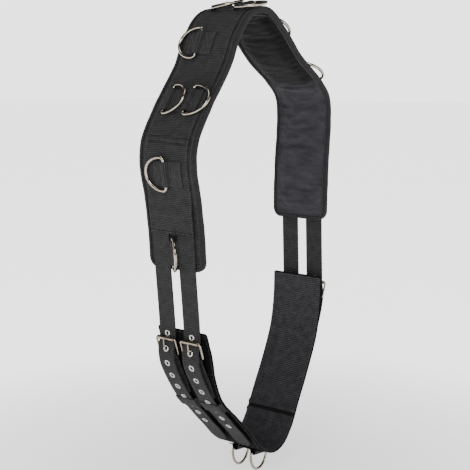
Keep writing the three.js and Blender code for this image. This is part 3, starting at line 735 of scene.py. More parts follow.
def padding():
    """Foam and lining as one soft body: inflated between its seams, then folded and creased."""
    build = pad_layer(1.6, 7.0, 19, pad_inner, lambda s, y: np.full_like(y, -PAD_SKIN - 0.4))
    piece = build.piece("pad_padding", LINING)
    remesh = piece.modifiers.new("even", "REMESH")
    remesh.mode = "VOXEL"
    remesh.voxel_size = VOXEL * MM
    points = read_points(applied(piece))
    s, y, out, _ = on_pad(points)
    edge = np.minimum(PAD_HALF - np.abs(y), from_end(s, PAD_LENGTH))
    outer = smoothstep(out, -7.0, -4.0)
    rim = 1 - smoothstep(edge, BINDING_REACH, BINDING_REACH + 5)
    sewn = sum(bump(s, PAD_MID + way * k, 2.5) for k in PANEL for way in (1, -1))
    held = np.clip(np.maximum(np.maximum(outer, rim), sewn), 0, 1)
    points = inflate(piece, held, PRESSURE, MOST_SWELL)
    write_points(piece.data, points)
    smooth = piece.modifiers.new("fine", "SUBSURF")
    smooth.levels = 1
    smooth.render_levels = 1
    points = read_points(applied(piece))
    s, y, out, normals = on_pad(points)
    from_mid = s - PAD_MID
    inner = smoothstep(-out, 5.5, 8.5)
    edge = np.minimum(PAD_HALF - np.abs(y), from_end(s, PAD_LENGTH))
    free = inner * smoothstep(edge, BINDING_REACH, BINDING_REACH + 9)
    sink = np.zeros(len(s))
    for place, depth, width in FOLDS:
        bend = 3.0 * ripple(y, place, 1) + 0.02 * y * math.copysign(1, place)
        sink += depth * bump(from_mid - bend, place, width)
    side = np.abs(from_mid)
    first, last = PANEL
    panel = smoothstep(side, first - 3, first + 3) * (1 - smoothstep(side, last - 3, last + 3))
    sink -= 1.1 * panel
    sink += 0.8 * ripple(s * 1.6, y * 0.8, 2) + 0.6 * ripple(s * 3.4, y * 0.9, 3)
    tight = bump(from_mid, 0, 60) + bump(np.abs(from_mid), 225, 45)
    sink += 0.9 * tight * ripple(s * 5.5, y * 0.6, 4)
    shift = free * sink
    points[:, 0] += normals[:, 0] * shift
    points[:, 2] += normals[:, 1] * shift
    top = np.abs(from_mid) < 60
    points[top, 2] = np.minimum(points[top, 2], np.where(out[top] < -8, -ORIGIN[2], 1e9))
    write_points(piece.data, points)
    dress(piece.data, np.stack([s, y], 1), LINING)
    finished(piece, "pad", "lining_cloth", "pad_foam", "pad_lining")
    return piece


padding()

low_face = lambda s, y: np.full_like(y, -PAD_SKIN)
high_face = lambda s, y: -0.25 - 0.25 * ripple(s * 2, y, 5) * smoothstep(PAD_HALF - np.abs(y), 0, 14)
shell = pad_layer(PAD_INSET, 4.0, 25, low_face, high_face).piece("pad_shell_cloth", BLACK_WEBBING)
finished(shell, "pad", "outer_webbing", "pad_shell")


def binding():
    """Tape folded round the whole edge of the pad, soft at its fold and slightly uneven."""
    reach, tape = LIP, BINDING_TAPE
    over, under = GAP, -PAD_EDGE - GAP
    fold = np.linspace(math.pi / 2, -math.pi / 2, 9)
    depth = (over - under) / 2 + tape
    middle = (over + under) / 2
    outer = [(-1.2 + (tape + 1.2) * math.cos(a) ** 0.6, middle + depth * math.sin(a)) for a in fold]
    inner = [(-1.6 + 1.6 * math.cos(a) ** 0.6, middle + (depth - tape) * math.sin(a)) for a in fold]
    lip = [(-k * reach / 3, over + tape) for k in (3, 2, 1)]
    section = [(-reach + 0.25, over + 0.2)] + lip + outer
    section += [(-k * reach / 3, under - tape) for k in (1, 2, 3)]
    section += [(-reach + 0.25, under - 0.2)] + [(-k * reach / 3, under) for k in (2, 1)]
    section += inner[::-1] + [(-k * reach / 3, over) for k in (1, 2)]
    path = []
    radius, corner_y = PAD_CORNER, PAD_HALF - PAD_CORNER
    straight = spaced(radius, PAD_LENGTH - radius, 4.0)

    def corner(s, y, start):
        for a in np.linspace(start, start + math.pi / 2, 10)[1:-1]:
            along, out = math.sin(a), math.cos(a)
            path.append((s + radius * along, y + radius * out, along, out))

    path += [(s, PAD_HALF, 0, 1) for s in straight]
    corner(PAD_LENGTH - radius, corner_y, 0)
    path += [(PAD_LENGTH, y, 1, 0) for y in spaced(corner_y, -corner_y, 4.0)]
    corner(PAD_LENGTH - radius, -corner_y, math.pi / 2)
    path += [(s, -PAD_HALF, 0, -1) for s in straight[::-1]]
    corner(radius, -corner_y, math.pi)
    path += [(0, y, -1, 0) for y in spaced(-corner_y, corner_y, 4.0)]
    corner(radius, corner_y, 1.5 * math.pi)
    sections, uv, run = [], [], 0.0
    for k, (s, y, along, out) in enumerate(path):
        if k:
            run += math.hypot(s - path[k - 1][0], y - path[k - 1][1])
        wave = 0.2 + 0.7 * float(ripple(run * 1.4, 0, 6))
        pinch = 0.3 * float(ripple(run * 2.6, 9, 7))
        rows = []
        for r, n in section:
            slack = wave - 0.3
            bulge = pinch * (1 if n > middle else -1) * float(smoothstep(-r, 0, 5)) * 0.5
            rows.append(pad_line.place(s + along * (r + slack), y + out * (r + slack), n + bulge)[0])
        sections.append(rows)
        uv.append([(run, r + n) for r, n in section])
    tape_piece = Build().sweep(sections, uv, True).piece("binding_tape", TAPE)
    finished(tape_piece, "pad", "edge_binding", "pad_binding")
    inset = reach - 1.6
    for height, way in ((over + tape + 0.1, 1), (under - tape - 0.1, -1)):
        line = [(s - along * inset, y - out * inset) for s, y, along, out in path + path[:1]]
        s, y = np.array(line).T
        pad_seams.row(pad_line.place(s, y, height), pad_line.outward(s, way))


binding()


def cover_low(s):
    end = from_end(s, PAD_LENGTH) - COVER_SETBACK
    over = BILLET_OVER_PAD + BILLET_THICK / 2 + 2 * GAP
    return over + (GAP - over) * smoothstep(end, OVER_BILLETS, OVER_BILLETS + COVER_RAMP)


def cover_top(s, y):
    """Outer face of the wide webbing, with its creases and a little slack."""
    from_mid = np.asarray(s, float) - PAD_MID
    y = np.asarray(y, float)
    sink = 0.0
    for place, depth in CREASES:
        bend = from_mid - 0.05 * y - 0.8 * ripple(y, place, 17)
        ends = smoothstep(COVER_HALF - np.abs(y), 2, 9)
        sink = sink + ends * depth * (bump(bend, place, 1.8) - 0.6 * bump(bend, place, 7))
    slack = 0.4 * ripple(s, y, 8) * smoothstep(COVER_HALF - np.abs(y), 2, 16)
    pucker = bump(from_end(s, PAD_LENGTH), COVER_SETBACK + 18, 14)
    slack = slack + 0.8 * pucker * ripple(s * 3.5, y * 0.8, 18)
    sink = sink + 1.5 * bump(from_end(s, PAD_LENGTH), COVER_SETBACK + 6.5, 1.8)
    return cover_low(s) + COVER_THICK + slack - 0.3 - sink


def cover():
    half = COVER_HALF
    ends = (COVER_SETBACK, PAD_LENGTH - COVER_SETBACK)
    stations = [*spaced(*ends, 4.0), *(ends[0] + np.arange(2, 14)), *(ends[1] - np.arange(2, 14))]
    for place, _ in CREASES:
        stations += list(PAD_MID + place + np.arange(-6, 6.1, 1.0))
    stations = np.unique(np.round(np.sort(stations), 2))

    def section(s):
        wave = 0.35 * float(ripple(s, 3, 9))
        rows = band_section(half + wave - 0.3, 0, COVER_THICK, 33)
        top = rows[:, 1] > COVER_THICK * 0.75
        shave = np.where(top, COVER_THICK - rows[:, 1], 0)
        rise = np.where(top, cover_top(s, rows[:, 0]) - shave, cover_low(s) + rows[:, 1])
        return np.stack([rows[:, 0], rise], 1)

    piece = Build().sweep(*band(pad_line, stations, section)).piece("cover_band", BLACK_WEBBING)
    finished(piece, "pad", "outer_webbing", "cover_webbing")
    edge, above = half - 3.2, lambda s, y: cover_top(s, y) + 0.1
    for y in (-edge, edge):
        pad_seams.on(pad_line, (ends[0] + 3, y), (ends[1] - 3, y), above)
    for first, way in ((ends[0], 1), (ends[1], -1)):
        for inset in (3, 32):
            pad_seams.on(pad_line, (first + way * inset, -edge), (first + way * inset, edge), above)


cover()


# ------------------------------------------------------------------ girth


def girth_half(s, half, setback):
    rest = GIRTH_CORNER - np.clip(from_end(s, GIRTH_LENGTH) - setback, 0, GIRTH_CORNER)
    return half - GIRTH_CORNER + math.sqrt(GIRTH_CORNER**2 - float(rest) ** 2)


LINING_OUT = -GIRTH_BAND - GIRTH_LINING - 2 * GAP


def girth_layer(name, material, slot, node, half, setback, face, back, step=5.0):
    round_end = setback + np.array([0.05, 0.4, 1, 2, 3, 4])
    plain = spaced(setback + 11, GIRTH_LENGTH - setback - 11, step)
    near_step = GIRTH_STEP + np.arange(-14, 14.1, 1.0)
    stations = np.unique(
        np.round(np.sort(np.concatenate([round_end, plain, near_step, GIRTH_LENGTH - round_end])), 2)
    )

    def section(s):
        wave = 0.4 * float(ripple(s * 0.9, 5, 10))
        rows = band_section(girth_half(s, half + wave * 0.5 - 0.3, setback), 0, 1, 23)
        high = rows[:, 1]
        low_n, high_n = back(s, rows[:, 0]), face(s, rows[:, 0])
        return np.stack([rows[:, 0], low_n + (high_n - low_n) * high], 1)

    piece = Build().sweep(*band(girth_line, stations, section)).piece(name, material)
    return finished(piece, "girth", slot, node)


def girth_face(s, y):
    return -GAP / 2 - BAND_SLACK + BAND_SLACK * ripple(s, y, 11)


def girth_inner(s, y):
    """Inner face of the lining, with its sewn-in fold and creases. It stays off the belly's flat."""
    edge = GIRTH_STEP + 0.6 * ripple(y * 0.6, 3, 19)
    lips = -2.8 * (bump(s, edge - 7, 4.5) + bump(s, edge + 7, 4.5))
    groove = 1.2 * bump(s, edge, 2.2)
    creases = 0.35 * ripple(s * 2.4, y, 12) + 0.3 * ripple(s * 4.5, y * 0.7, 13)
    return LINING_OUT + lips + groove + creases * (1 - bump(s, GIRTH_MID, 26))


girth_layer(
    "girth_outer_band", GIRTH_WEBBING, "outer_webbing", "girth_band", GIRTH_HALF, 0,
    girth_face, lambda s, y: np.full_like(y, -GAP / 2 - GIRTH_BAND),
)
girth_layer(
    "girth_inner_lining", GIRTH_LINING_WEB, "lining_cloth", "girth_lining",
    GIRTH_HALF - LINING_INSET, LINING_SETBACK,
    lambda s, y: np.full_like(y, -GIRTH_BAND - 1.5 * GAP), girth_inner,
)
OUT_ROW, EDGE_ROW = 0.2, GIRTH_HALF - 4
for y in (-EDGE_ROW, EDGE_ROW):
    girth_seams.on(girth_line, (4, y), (GIRTH_LENGTH - 4, y), OUT_ROW)
for s in (4, 80, GIRTH_LENGTH - 80, GIRTH_LENGTH - 4):
    girth_seams.on(girth_line, (s, -EDGE_ROW), (s, EDGE_ROW), OUT_ROW)


def inner_row(start, end):
    """A row of stitches on the girth's inner face."""
    count = max(3, int(math.hypot(end[0] - start[0], end[1] - start[1]) / 3))
    s, y = np.linspace(start[0], end[0], count), np.linspace(start[1], end[1], count)
    lift = girth_inner(s, y) - THREAD_OUT
    girth_seams.row(girth_line.place(s, y, lift), girth_line.outward(s, -1))


for y in (-EDGE_ROW + 1, EDGE_ROW - 1):
    inner_row((15, y), (GIRTH_LENGTH - 15, y))
for s in (14, 80, GIRTH_LENGTH - 80, GIRTH_LENGTH - 14):
    inner_row((s, -EDGE_ROW + 1), (s, EDGE_ROW - 1))
SEWN = (84, 126)  # where the chapes are sewn through to the girth's inner face
for from_flap in (lambda d: d, lambda d: GIRTH_LENGTH - d):
    for y in (-BILLET_Y - 15, 15 - BILLET_Y, BILLET_Y - 15, BILLET_Y + 15):
        inner_row((from_flap(SEWN[0]), y), (from_flap(SEWN[1]), y))
    for d in SEWN:
        for y in (-BILLET_Y, BILLET_Y):
            inner_row((from_flap(d), y - 15), (from_flap(d), y + 15))


# ------------------------------------------------------------------ D-rings and their tabs


def ring_outline(size):
    """Points of a D as (along the bar, away from it)."""
    bar, corner, depth = size["bar"], size["corner"], size["depth"]
    points = [(x, 0.0) for x in np.linspace(-bar, bar, 12)]
    points += arc((bar, corner), corner, corner, -math.pi / 2, 7)[1:]
    points += arc((0, corner), bar + corner, depth - corner, 0, 44, math.pi)[1:-1]
    points += arc((-bar, corner), corner, corner, math.pi, 7)[:-1]
    return points


def arc(middle, width, depth, start, count, turn=math.pi / 2):
    """Points of a part of an ellipse, from the angle start over turn."""
    angles = np.linspace(start, start + turn, count)
    return [(middle[0] + width * math.cos(a), middle[1] + depth * math.sin(a)) for a in angles]


def frame_at(line, s):
    """Middle, tangent and outward normal in 3D at one place on a line."""
    origin, tangent, normal = (v[0] for v in line.along(s))
    return tuple(np.array([v[0], 0.0, v[1]]) for v in (origin, tangent, normal))


ACROSS = np.array([0.0, 1.0, 0.0])


def ring(name, size, body, patch, height, y, way, lift):
    """A bent wire ring. Its two ends meet in the middle of the bar, inside the tunnel."""
    middle, tangent, normal = patch
    origin = middle + normal * height + ACROSS * y
    angle = math.radians(lift)
    axis = tangent * way
    out = ACROSS * way * math.cos(angle) + normal * math.sin(angle)
    path = [origin + axis * a + out * b for a, b in ring_outline(size)]
    build = Build()
    tube(build, path, size["wire"], 18, True, np.cross(axis, out))
    piece = build.piece(name + "_wire", NICKEL)
    finished(piece, body, "nickel_ring", name)


def along_humps(path, heights):
    """Along a strap with humps: place, height, lean as (y, n), and the length run so far."""
    slope = np.gradient(heights, path)
    run = 0.0
    for k, (y, height) in enumerate(zip(path, heights)):
        if k:
            run += math.hypot(y - path[k - 1], height - heights[k - 1])
        yield y, height, np.array([-slope[k], 1.0]) / math.hypot(slope[k], 1.0), run


def tab_height(y, base, top, bars, half):
    """Height of a tab's lower face, with a tunnel over each bar."""
    height = np.full(np.shape(y), float(base))
    for middle in bars:
        away = np.abs(np.asarray(y, float) - middle)
        height = np.maximum(height, base + (top - base) * (1 - smoothstep(away, half, half + TAB_RAMP)))
    return height


def tab(name, line, s, base, size, ends, bars, body, seams):
    """A webbing strap laid over the bars: tunnels over them, box stitches between them."""
    middle, tangent, normal = frame_at(line, s)
    half = size["wire"] + TAB_BAR_ROOM
    top = base + TAB_RISE + size["wire"] + GAP
    length = size["bar"] - TAB_SHORT_BY
    path = spaced(ends[0], ends[1], 0.8)
    heights = tab_height(path, base, top, bars, half)
    bulk = TAB_THICK - TAB_WEAR
    rows = band_section(length, 0, bulk, 15)
    sections, uv = [], []
    for y, height, lean, run in along_humps(path, heights):
        raised = min(1.0, 3 * (height - base) / (top - base))
        points, places = [], []
        for a, n in rows:
            out = n
            if n > 0.5 * bulk:
                out += 2 * TAB_WEAR * float(ripple(a * 2, y * 2 + s, 14)) - TAB_WEAR
            across, up = y + lean[0] * out, height + lean[1] * out
            straight = middle + tangent * a + ACROSS * across + normal * up
            bent = line.place(s + a, across, up)[0]
            points.append(bent + (straight - bent) * raised)
            places.append((run, a))
        sections.append(points)
        uv.append(places)
    piece = Build().sweep(sections, uv).piece(name + "_strap", STRAP_WEBBING)
    finished(piece, body, "outer_webbing", name)
    surface = base + bulk + THREAD_OUT

    def row(y0, a0, y1, a1):
        steps = np.linspace(0, 1, 8)[:, None]
        ys, along = y0 + (y1 - y0) * steps[:, 0], a0 + (a1 - a0) * steps[:, 0]
        seams.row(line.place(s + along, ys, surface), np.tile(normal, (8, 1)))

    edges = [ends[0]]
    for bar in sorted(bars):
        edges += [bar - half - TAB_RAMP, bar + half + TAB_RAMP]
    edges.append(ends[1])
    side = length - 2.4
    for low, high in zip(edges[::2], edges[1::2]):
        if high - low < 6:
            row((low + high) / 2, -side, (low + high) / 2, side)
            continue
        y0, y1 = low + 1.8, high - 1.8
        row(y0, -side, y0, side)
        row(y1, -side, y1, side)
        if high - low > 14:
            for a in (-side, side):
                row(y0, a, y1, a)
            row(y0, -side, y1, side)
            row(y0, side, y1, -side)


for label, from_mid, ends, bars in RING_STATIONS:
    place = PAD_MID + from_mid
    base = OVER_BINDING if label.endswith("_4") else 2 * GAP + COVER_THICK + GAP
    tab("tab_" + label, pad_line, place, base, RING, ends, [b[0] for b in bars], "pad", pad_seams)
    for which, (y, way, lift) in enumerate(bars):
        name = "ring_" + label + (("_far", "_near")[which] if len(bars) > 1 else "")
        ring(name, RING, name, frame_at(pad_line, place), base + TAB_RISE, y, way, lift)

under = GIRTH_MID + GIRTH_RING_AT
under_base = GAP + GIRTH_TAB_BASE
tab("tab_girth", girth_line, under, under_base, SMALL_RING, GIRTH_TAB, GIRTH_BARS, "girth", girth_seams)
for y, name in zip(GIRTH_BARS, ("ring_girth_far", "ring_girth_near")):
    ring(name, SMALL_RING, name, frame_at(girth_line, under), under_base + TAB_RISE - GAP, y, 1, 90)


# ------------------------------------------------------------------ billets, buckles and keepers


def strap_with_holes(line, stations, half, thick, holes, window, narrow):
    """A band with a square window at each hole, that the eyelets cover."""
    cuts = np.concatenate([[h - window, h + window] for h in holes])
    keep = np.array([s for s in stations if np.min(np.abs(s - cuts)) > 1.2])
    places = np.unique(np.round(np.sort(np.concatenate([keep, cuts])), 3))
    ys = np.array([-1, -0.985, -0.9, -0.6, -window / half, window / half, 0.6, 0.9, 0.985, 1]) * half
    cell = 4
    count = len(ys)
    points, uv = [], []
    for s in places:
        squeeze = narrow(s)
        slack = EDGE_SLACK * ripple(s * 1.1, 4, 15)
        for way in (1, -1):
            out = np.full(count, way * thick / 2)
            out[[0, -1]] *= 0.35
            across = ys * squeeze
            across[[0, -1]] += slack
            points.append(line.place(s, across, out))
            uv.append(np.stack([np.full(count, s), across], 1))
    faces = []

    def quad(*corners, turned=False):
        face = tuple((2 * i + way) * count + j for i, way, j in corners)
        faces.append(face[::-1] if turned else face)

    last = count - 1
    for i, k in zip(range(len(places) - 1), range(1, len(places))):
        open_here = any(abs(places[i] - (h - window)) < 0.01 for h in holes)
        for j in range(last):
            if open_here and j == cell:
                continue
            quad((i, 0, j), (k, 0, j), (k, 0, j + 1), (i, 0, j + 1))
            quad((i, 1, j), (i, 1, j + 1), (k, 1, j + 1), (k, 1, j))
        quad((i, 0, 0), (i, 1, 0), (k, 1, 0), (k, 0, 0))
        quad((i, 0, last), (i, 1, last), (k, 1, last), (k, 0, last), turned=True)
        if open_here:
            a, b = cell, cell + 1
            quad((i, 0, a), (i, 0, b), (i, 1, b), (i, 1, a))
            quad((k, 0, b), (k, 0, a), (k, 1, a), (k, 1, b))
            quad((i, 0, b), (k, 0, b), (k, 1, b), (i, 1, b))
            quad((k, 0, a), (i, 0, a), (i, 1, a), (k, 1, a))
    for j in range(last):
        quad((0, 0, j), (0, 0, j + 1), (0, 1, j + 1), (0, 1, j))
        end = len(places) - 1
        quad((end, 0, j), (end, 0, j + 1), (end, 1, j + 1), (end, 1, j), turned=True)
    return np.vstack(points), np.vstack(uv), faces


EYELET_PROFILE = [
    (EYELET_HOLE, -1.3), (EYELET_HOLE + 0.05, 0.9), (EYELET_HOLE + 0.35, 1.55),
    (EYELET_HOLE + 1.0, 1.95), (EYELET_RADIUS - 1.2, 1.85), (EYELET_RADIUS - 0.3, 1.5),
    (EYELET_RADIUS, 1.15),
    (EYELET_HOLE + 1.0, 1.12), (EYELET_HOLE + 0.6, 0.6), (EYELET_HOLE + 0.6, -1.12),
    (EYELET_RADIUS - 0.8, -1.15), (EYELET_RADIUS - 0.8, -1.4), (EYELET_RADIUS - 1.6, -1.62),
    (EYELET_HOLE + 0.5, -1.6),
]


def girth_end(side):
    """Everything at one end of the girth: side is -1 on the left and 1 on the right."""
    label = "left" if side < 0 else "right"
    down = lambda d: GIRTH_LENGTH - d if side < 0 else d
    off_girth = lambda d, n: girth_line.place(down(d), 0, n)[0]
    to_roller = np.array([side * math.sin(HEEL_LEAN), 0, math.cos(HEEL_LEAN)])
    outward = np.array([side * math.cos(HEEL_LEAN), 0, -math.sin(HEEL_LEAN)])
    heel = off_girth(HEEL_IN, HEEL_OFF)
    in_buckle = lambda along, out: heel + to_roller * along + outward * out
    pad_end = lambda d: d if side < 0 else PAD_LENGTH - d
    under_cover = [pad_line.place(pad_end(d), 0, BILLET_OVER_PAD)[0] for d in UNDER_COVER]
    threaded = [in_buckle(*p) for p in THREADING]
    tail = [off_girth(*p) for p in TAIL_OFFSETS]
    billet = line_through([*under_cover, *threaded, *tail], side)
    hole = billet.nearest(in_buckle(*THREADING[TONGUE_HOLE]))
    holes = hole + EYELET_PITCH * np.arange(-1, EYELETS - 1)
    left = lambda s: min(max(billet.length - s, 0) / TIP_LENGTH, 1)
    tip = lambda s: min(1, TIP_NARROW + (1 - TIP_NARROW) * math.sqrt(left(s)))
    stations = spaced(0, billet.length, 5.0)
    stations = np.concatenate([stations, billet.length - np.array([1, 2.5, 4.5, 7.5, 11])])
    top = (pad_line.place(pad_end(-2), 0, 0)[0] + ORIGIN) * MM

    for row, y in (("far", BILLET_Y), ("near", -BILLET_Y)):
        name = label + "_" + row
        points, uv, faces = strap_with_holes(
            billet, stations, BILLET_HALF - BILLET_EASE, BILLET_THICK, holes, WINDOW, tip
        )
        points[:, 1] += y
        strap = Build().add(points, uv, faces).piece("billet_" + name, STRAP_WEBBING)
        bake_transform(strap)
        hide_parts("billet_upper_" + name, "billet_tail_" + name)

        eyelets = Build()
        for at in holes:
            middle, tangent, normal = frame_at(billet, at)
            lathe(eyelets, EYELET_PROFILE, middle + ACROSS * y, normal, tangent)
        rings = eyelets.piece("eyelets_" + name, BRIGHT)
        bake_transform(rings)

        chape(name, y, off_girth, in_buckle, side)
        buckle(name, y, heel, to_roller, outward, side)
    keeper(label, down)


def chape(name, y, off_girth, in_buckle, side):
    """Webbing folded round the heel bar in two loops beside the tongue, and sewn to the girth."""
    build = Build()
    wall = FRAME_WIRE + GAP + CHAPE_LAYER / 2
    end = [off_girth(*p) for p in CHAPE_OFFSETS]
    start = in_buckle(*CHAPE_START)
    double = line_through([start, *end], side)
    gap = CHAPE_LAYER / 2 + 0.05
    loop = [double.place(k, 0, gap)[0] for k in (14, 10, 6)]
    for angle in np.linspace(2.1, -2.1, 11):
        loop.append(in_buckle(wall * math.cos(angle), wall * math.sin(angle)))
    loop += [double.place(k, 0, -gap)[0] for k in (6, 10, 14)]
    fold = line_through(loop)
    half = (CHAPE_HALF - SLOT_HALF) / 2
    for way in (-1, 1):
        middle = y + way * (SLOT_HALF + half)
        rows = band_section(half, -CHAPE_LAYER / 2, CHAPE_LAYER / 2, 7) + np.array([middle, 0])
        build.sweep(*band(fold, spaced(0, fold.length, 1.6), lambda s: rows))
    for way in (-1, 1):
        rows = band_section(CHAPE_HALF, way * gap - CHAPE_LAYER / 2, way * gap + CHAPE_LAYER / 2, 13)
        rows = rows + np.array([y, 0])
        last = double.length - (0 if way < 0 else 0.6)
        build.sweep(*band(double, spaced(9, last, 4.0), lambda s: rows))
    strap = build.piece("chape_strap_" + name, STRAP_WEBBING)
    finished(strap, "girth", "outer_webbing", "chape_" + name)
    out = gap + CHAPE_LAYER / 2 + 0.1
    inside = CHAPE_HALF - 2.2
    first, last = double.length - 46, double.length - 2.5
    for way in (-1, 1):
        girth_seams.on(double, (first, y + way * inside), (last, y + way * inside), out)
        girth_seams.on(double, (first, y - way * inside), (last, y + way * inside), out)
    for s in (first, last):
        girth_seams.on(double, (s, y - inside), (s, y + inside), out)


def buckle(name, y, heel, to_roller, outward, side):
    origin = heel + ACROSS * y
    corner, length = FRAME_CORNER, FRAME_LENGTH
    half, front = FRAME_HALF - corner, length - corner
    outline = []
    for k, middle in enumerate([(half, corner), (half, front), (-half, front), (-half, corner)]):
        outline += arc(middle, corner, corner, (k - 1) * math.pi / 2, 7)
    path = [origin + ACROSS * a + to_roller * b for a, b in outline]
    build = Build()
    tube(build, path, FRAME_WIRE, 16, True, outward)
    frame_piece = build.piece("frame_wire_" + name, NICKEL)
    finished(frame_piece, "buckle_" + name, "buckle_metal", "buckle_frame_" + name)

    roller = Build()
    bore, radius, ends = FRAME_WIRE + GAP, ROLLER_RADIUS, ROLLER_LENGTH / 2
    profile = [(bore, -ends), (radius - 0.5, -ends)]
    profile += [(radius - 0.12, -ends + 0.25), (radius, -ends + 0.8)]
    waist = [(radius - 0.1, -ends + 5), (radius - 0.12, 0), (radius - 0.1, ends - 5)]
    profile = profile + waist + [(r, -h) for r, h in reversed(profile)]
    lathe(roller, profile, origin + to_roller * length, ACROSS, outward, 48)
    tube_piece = roller.piece("roller_tube_" + name, ROLLED)
    finished(tube_piece, "roller_" + name, "buckle_metal", "buckle_roller_" + name)

    tongue = Build()
    eye = FRAME_WIRE + GAP + TONGUE_WIRE
    turns = np.linspace(0, 2 * math.pi, 28, endpoint=False)
    circle = [origin + to_roller * eye * math.cos(a) + outward * eye * math.sin(a) for a in turns]
    tube(tongue, circle, TONGUE_WIRE, 14, True, ACROSS)
    shank = Line(TONGUE_LINE)
    places = spaced(0, shank.length, 0.8)
    flat, _, _ = shank.along(places)
    path = [origin + to_roller * a + outward * b for a, b in flat]
    taper = TONGUE_WIRE * (1 - 0.22 * smoothstep(places, shank.length - 9, shank.length))
    taper *= np.sqrt(np.clip((shank.length - places + 0.25) / 1.2, 0.2, 1))
    tube(tongue, path, taper, 14, False, ACROSS)
    tongue_piece = tongue.piece("tongue_pin_" + name, ROLLED)
    finished(tongue_piece, "tongue_" + name, "buckle_metal", "buckle_tongue_" + name)


def keeper(label, down):
    """One strip across the girth that makes a loop over each billet."""
    inner, outer = BILLET_Y - BILLET_HALF, BILLET_Y + BILLET_HALF
    over = TAIL_OVER_KEEPER + BILLET_THICK / 2 + 2 * GAP
    path = spaced(-outer - KEEPER_FOOT, outer + KEEPER_FOOT, 1.0)
    away = np.abs(path)
    steep, inside, outside = KEEPER_RISE
    rise = smoothstep(away, inner - inside, inner - steep)
    rise = rise * (1 - smoothstep(away, outer + steep, outer + outside))
    heights = GAP + (over - GAP) * rise
    middle = (KEEPER_FROM + KEEPER_TO) / 2
    half = (KEEPER_TO - KEEPER_FROM) / 2
    rows = band_section(half, 0, KEEPER_THICK, 11)
    s = down(middle + rows[:, 0])
    sections, uv = [], []
    for y, height, lean, run in along_humps(path, heights):
        out = rows[:, 1] + 0.15 * ripple(rows[:, 0] * 2, y * 2, 16) * (rows[:, 1] > 0.8)
        sections.append(girth_line.place(s, y + lean[0] * out, height + lean[1] * out))
        uv.append(np.stack([np.full(len(rows), run), rows[:, 0]], 1))
    piece = Build().sweep(sections, uv).piece("keeper_strap_" + label, STRAP_WEBBING)
    finished(piece, "girth", "billet_webbing", "keeper_" + label)
    sewn = outer + KEEPER_FOOT - 2.2
    for y in (-sewn, 0, sewn):
        for shift in (-2.0, 2.0) if y == 0 else (0,):
            start, end = (down(middle - half + 2), y + shift), (down(middle + half - 2), y + shift)
            girth_seams.on(girth_line, start, end, GAP + KEEPER_THICK + THREAD_OUT)


girth_end(-1)
girth_end(1)

pad_seams.piece("pad_stitching", "pad", "edge_binding")
girth_seams.piece("girth_stitching", "girth", "edge_binding")


# ------------------------------------------------------------------ camera, light and floor


def aimed(thing, place, target):
    thing.location = place
    direction = Vector(target) - Vector(place)
    thing.rotation_euler = direction.to_track_quat("-Z", "Y").to_euler()


LENS = 80.95
CAMERA_FROM_AIM = np.array([-1466.0, -1217.8, 279.6])

scene = bpy.context.scene
camera_data = bpy.data.cameras.new("camera")
camera_data.sensor_width = 36.0
camera_data.lens = LENS
camera = bpy.data.objects.new("camera", camera_data)
scene.collection.objects.link(camera)
AIM = ORIGIN * MM
aimed(camera, AIM + CAMERA_FROM_AIM * MM, AIM)
scene.camera = camera


def area_light(name, place, size, watts, color):
    data = bpy.data.lights.new(name, "AREA")
    data.shape = "RECTANGLE"
    data.size, data.size_y = size
    data.energy = watts
    data.color = color
    light = bpy.data.objects.new(name, data)
    scene.collection.objects.link(light)
    aimed(light, place, AIM)


LIGHTS = [  # name, place in metres, size, watts, colour
    ("key", (-3.4, -1.8, 2.7), (2.0, 2.0), 150, (1.0, 0.98, 0.96)),
    ("front", (-1.4, -3.6, 0.5), (1.6, 2.2), 22, (0.98, 0.99, 1.0)),
    ("top", (-0.6, 0.3, 3.2), (1.8, 1.8), 34, (1.0, 1.0, 1.0)),
]
for light in LIGHTS:
    area_light(*light)

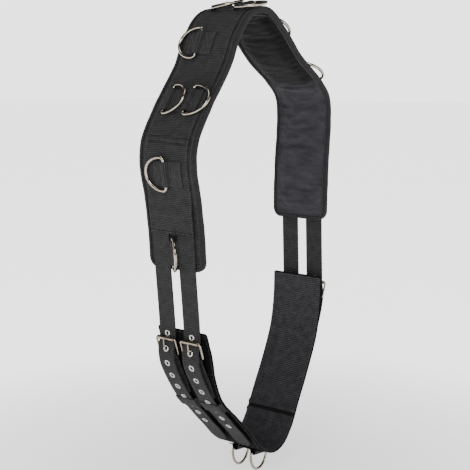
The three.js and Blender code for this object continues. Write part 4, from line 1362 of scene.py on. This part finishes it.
PALE = 2.8  # brightness of the background, at the horizon and on the floor
SKY = [(0.1, (1, 1, 1, 1)), (0.2, (0.035, 0.035, 0.037, 1))]  # colour by height above the horizon
FLOOR_SPAN, FLOOR_DROP = 30.0, 0.001  # metres
FLOOR_TONES = ((0.4, 0.4, 0.4), (0.43, 0.43, 0.43))
GLOW = (0.05, 0.85)  # of PALE: painted glow everywhere on the floor, and more away from the belt, which leaves a painted shadow pool under it
GLOW_RISE = (0.5, 1.25)  # metres from the belt's top, where that comes in

world = bpy.data.worlds.new("studio")
scene.world = world
world.use_nodes = True
tree = world.node_tree
background = tree.nodes["Background"]
coordinate = tree.nodes.new("ShaderNodeTexCoord")
split = tree.nodes.new("ShaderNodeSeparateXYZ")
ramp = tree.nodes.new("ShaderNodeValToRGB")
tree.links.new(coordinate.outputs["Generated"], split.inputs[0])
tree.links.new(split.outputs[2], ramp.inputs[0])
tree.links.new(ramp.outputs[0], background.inputs[0])
for stop, (height, color) in zip(ramp.color_ramp.elements, SKY):
    stop.position = height
    stop.color = color
background.inputs[1].default_value = PALE

floor_mesh = bpy.data.meshes.new("floor")
floor_z = float(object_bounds()[0][2]) - FLOOR_DROP
corners = [(-1, -1), (1, -1), (1, 1), (-1, 1)]
floor_points = [(x * FLOOR_SPAN, y * FLOOR_SPAN, floor_z) for x, y in corners]
floor_mesh.from_pydata(floor_points, [], [(0, 1, 2, 3)])
floor = bpy.data.objects.new("floor", floor_mesh)
scene.collection.objects.link(floor)
paper = Nodes("pale_floor")
where = paper.new("TexCoord").outputs["Object"]
grain = paper.noise(where, 400.0)
paper.set(Base_Color=paper.ramp(grain, 0.0, 1.0, *FLOOR_TONES))
apart = paper.new("VectorMath")
apart.operation = "LENGTH"
paper.link(where, apart.inputs[0])
# The floor glows as painted light, dimmer near the belt, which makes a painted shadow below it.
glow = paper.math("MULTIPLY", paper.rise(apart.outputs["Value"], *GLOW_RISE), PALE * GLOW[1])
paper.set(Emission_Strength=paper.math("ADD", glow, PALE * GLOW[0]))
paper.set(Roughness=0.9, Specular_IOR_Level=0.0, Emission_Color=(1, 1, 1, 1))
floor_mesh.materials.append(paper.material)
floor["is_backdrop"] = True

plain = lambda box: [[float(c) for c in corner] for corner in box]
{"cad": plain(cad_bounds), "all": plain(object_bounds())}
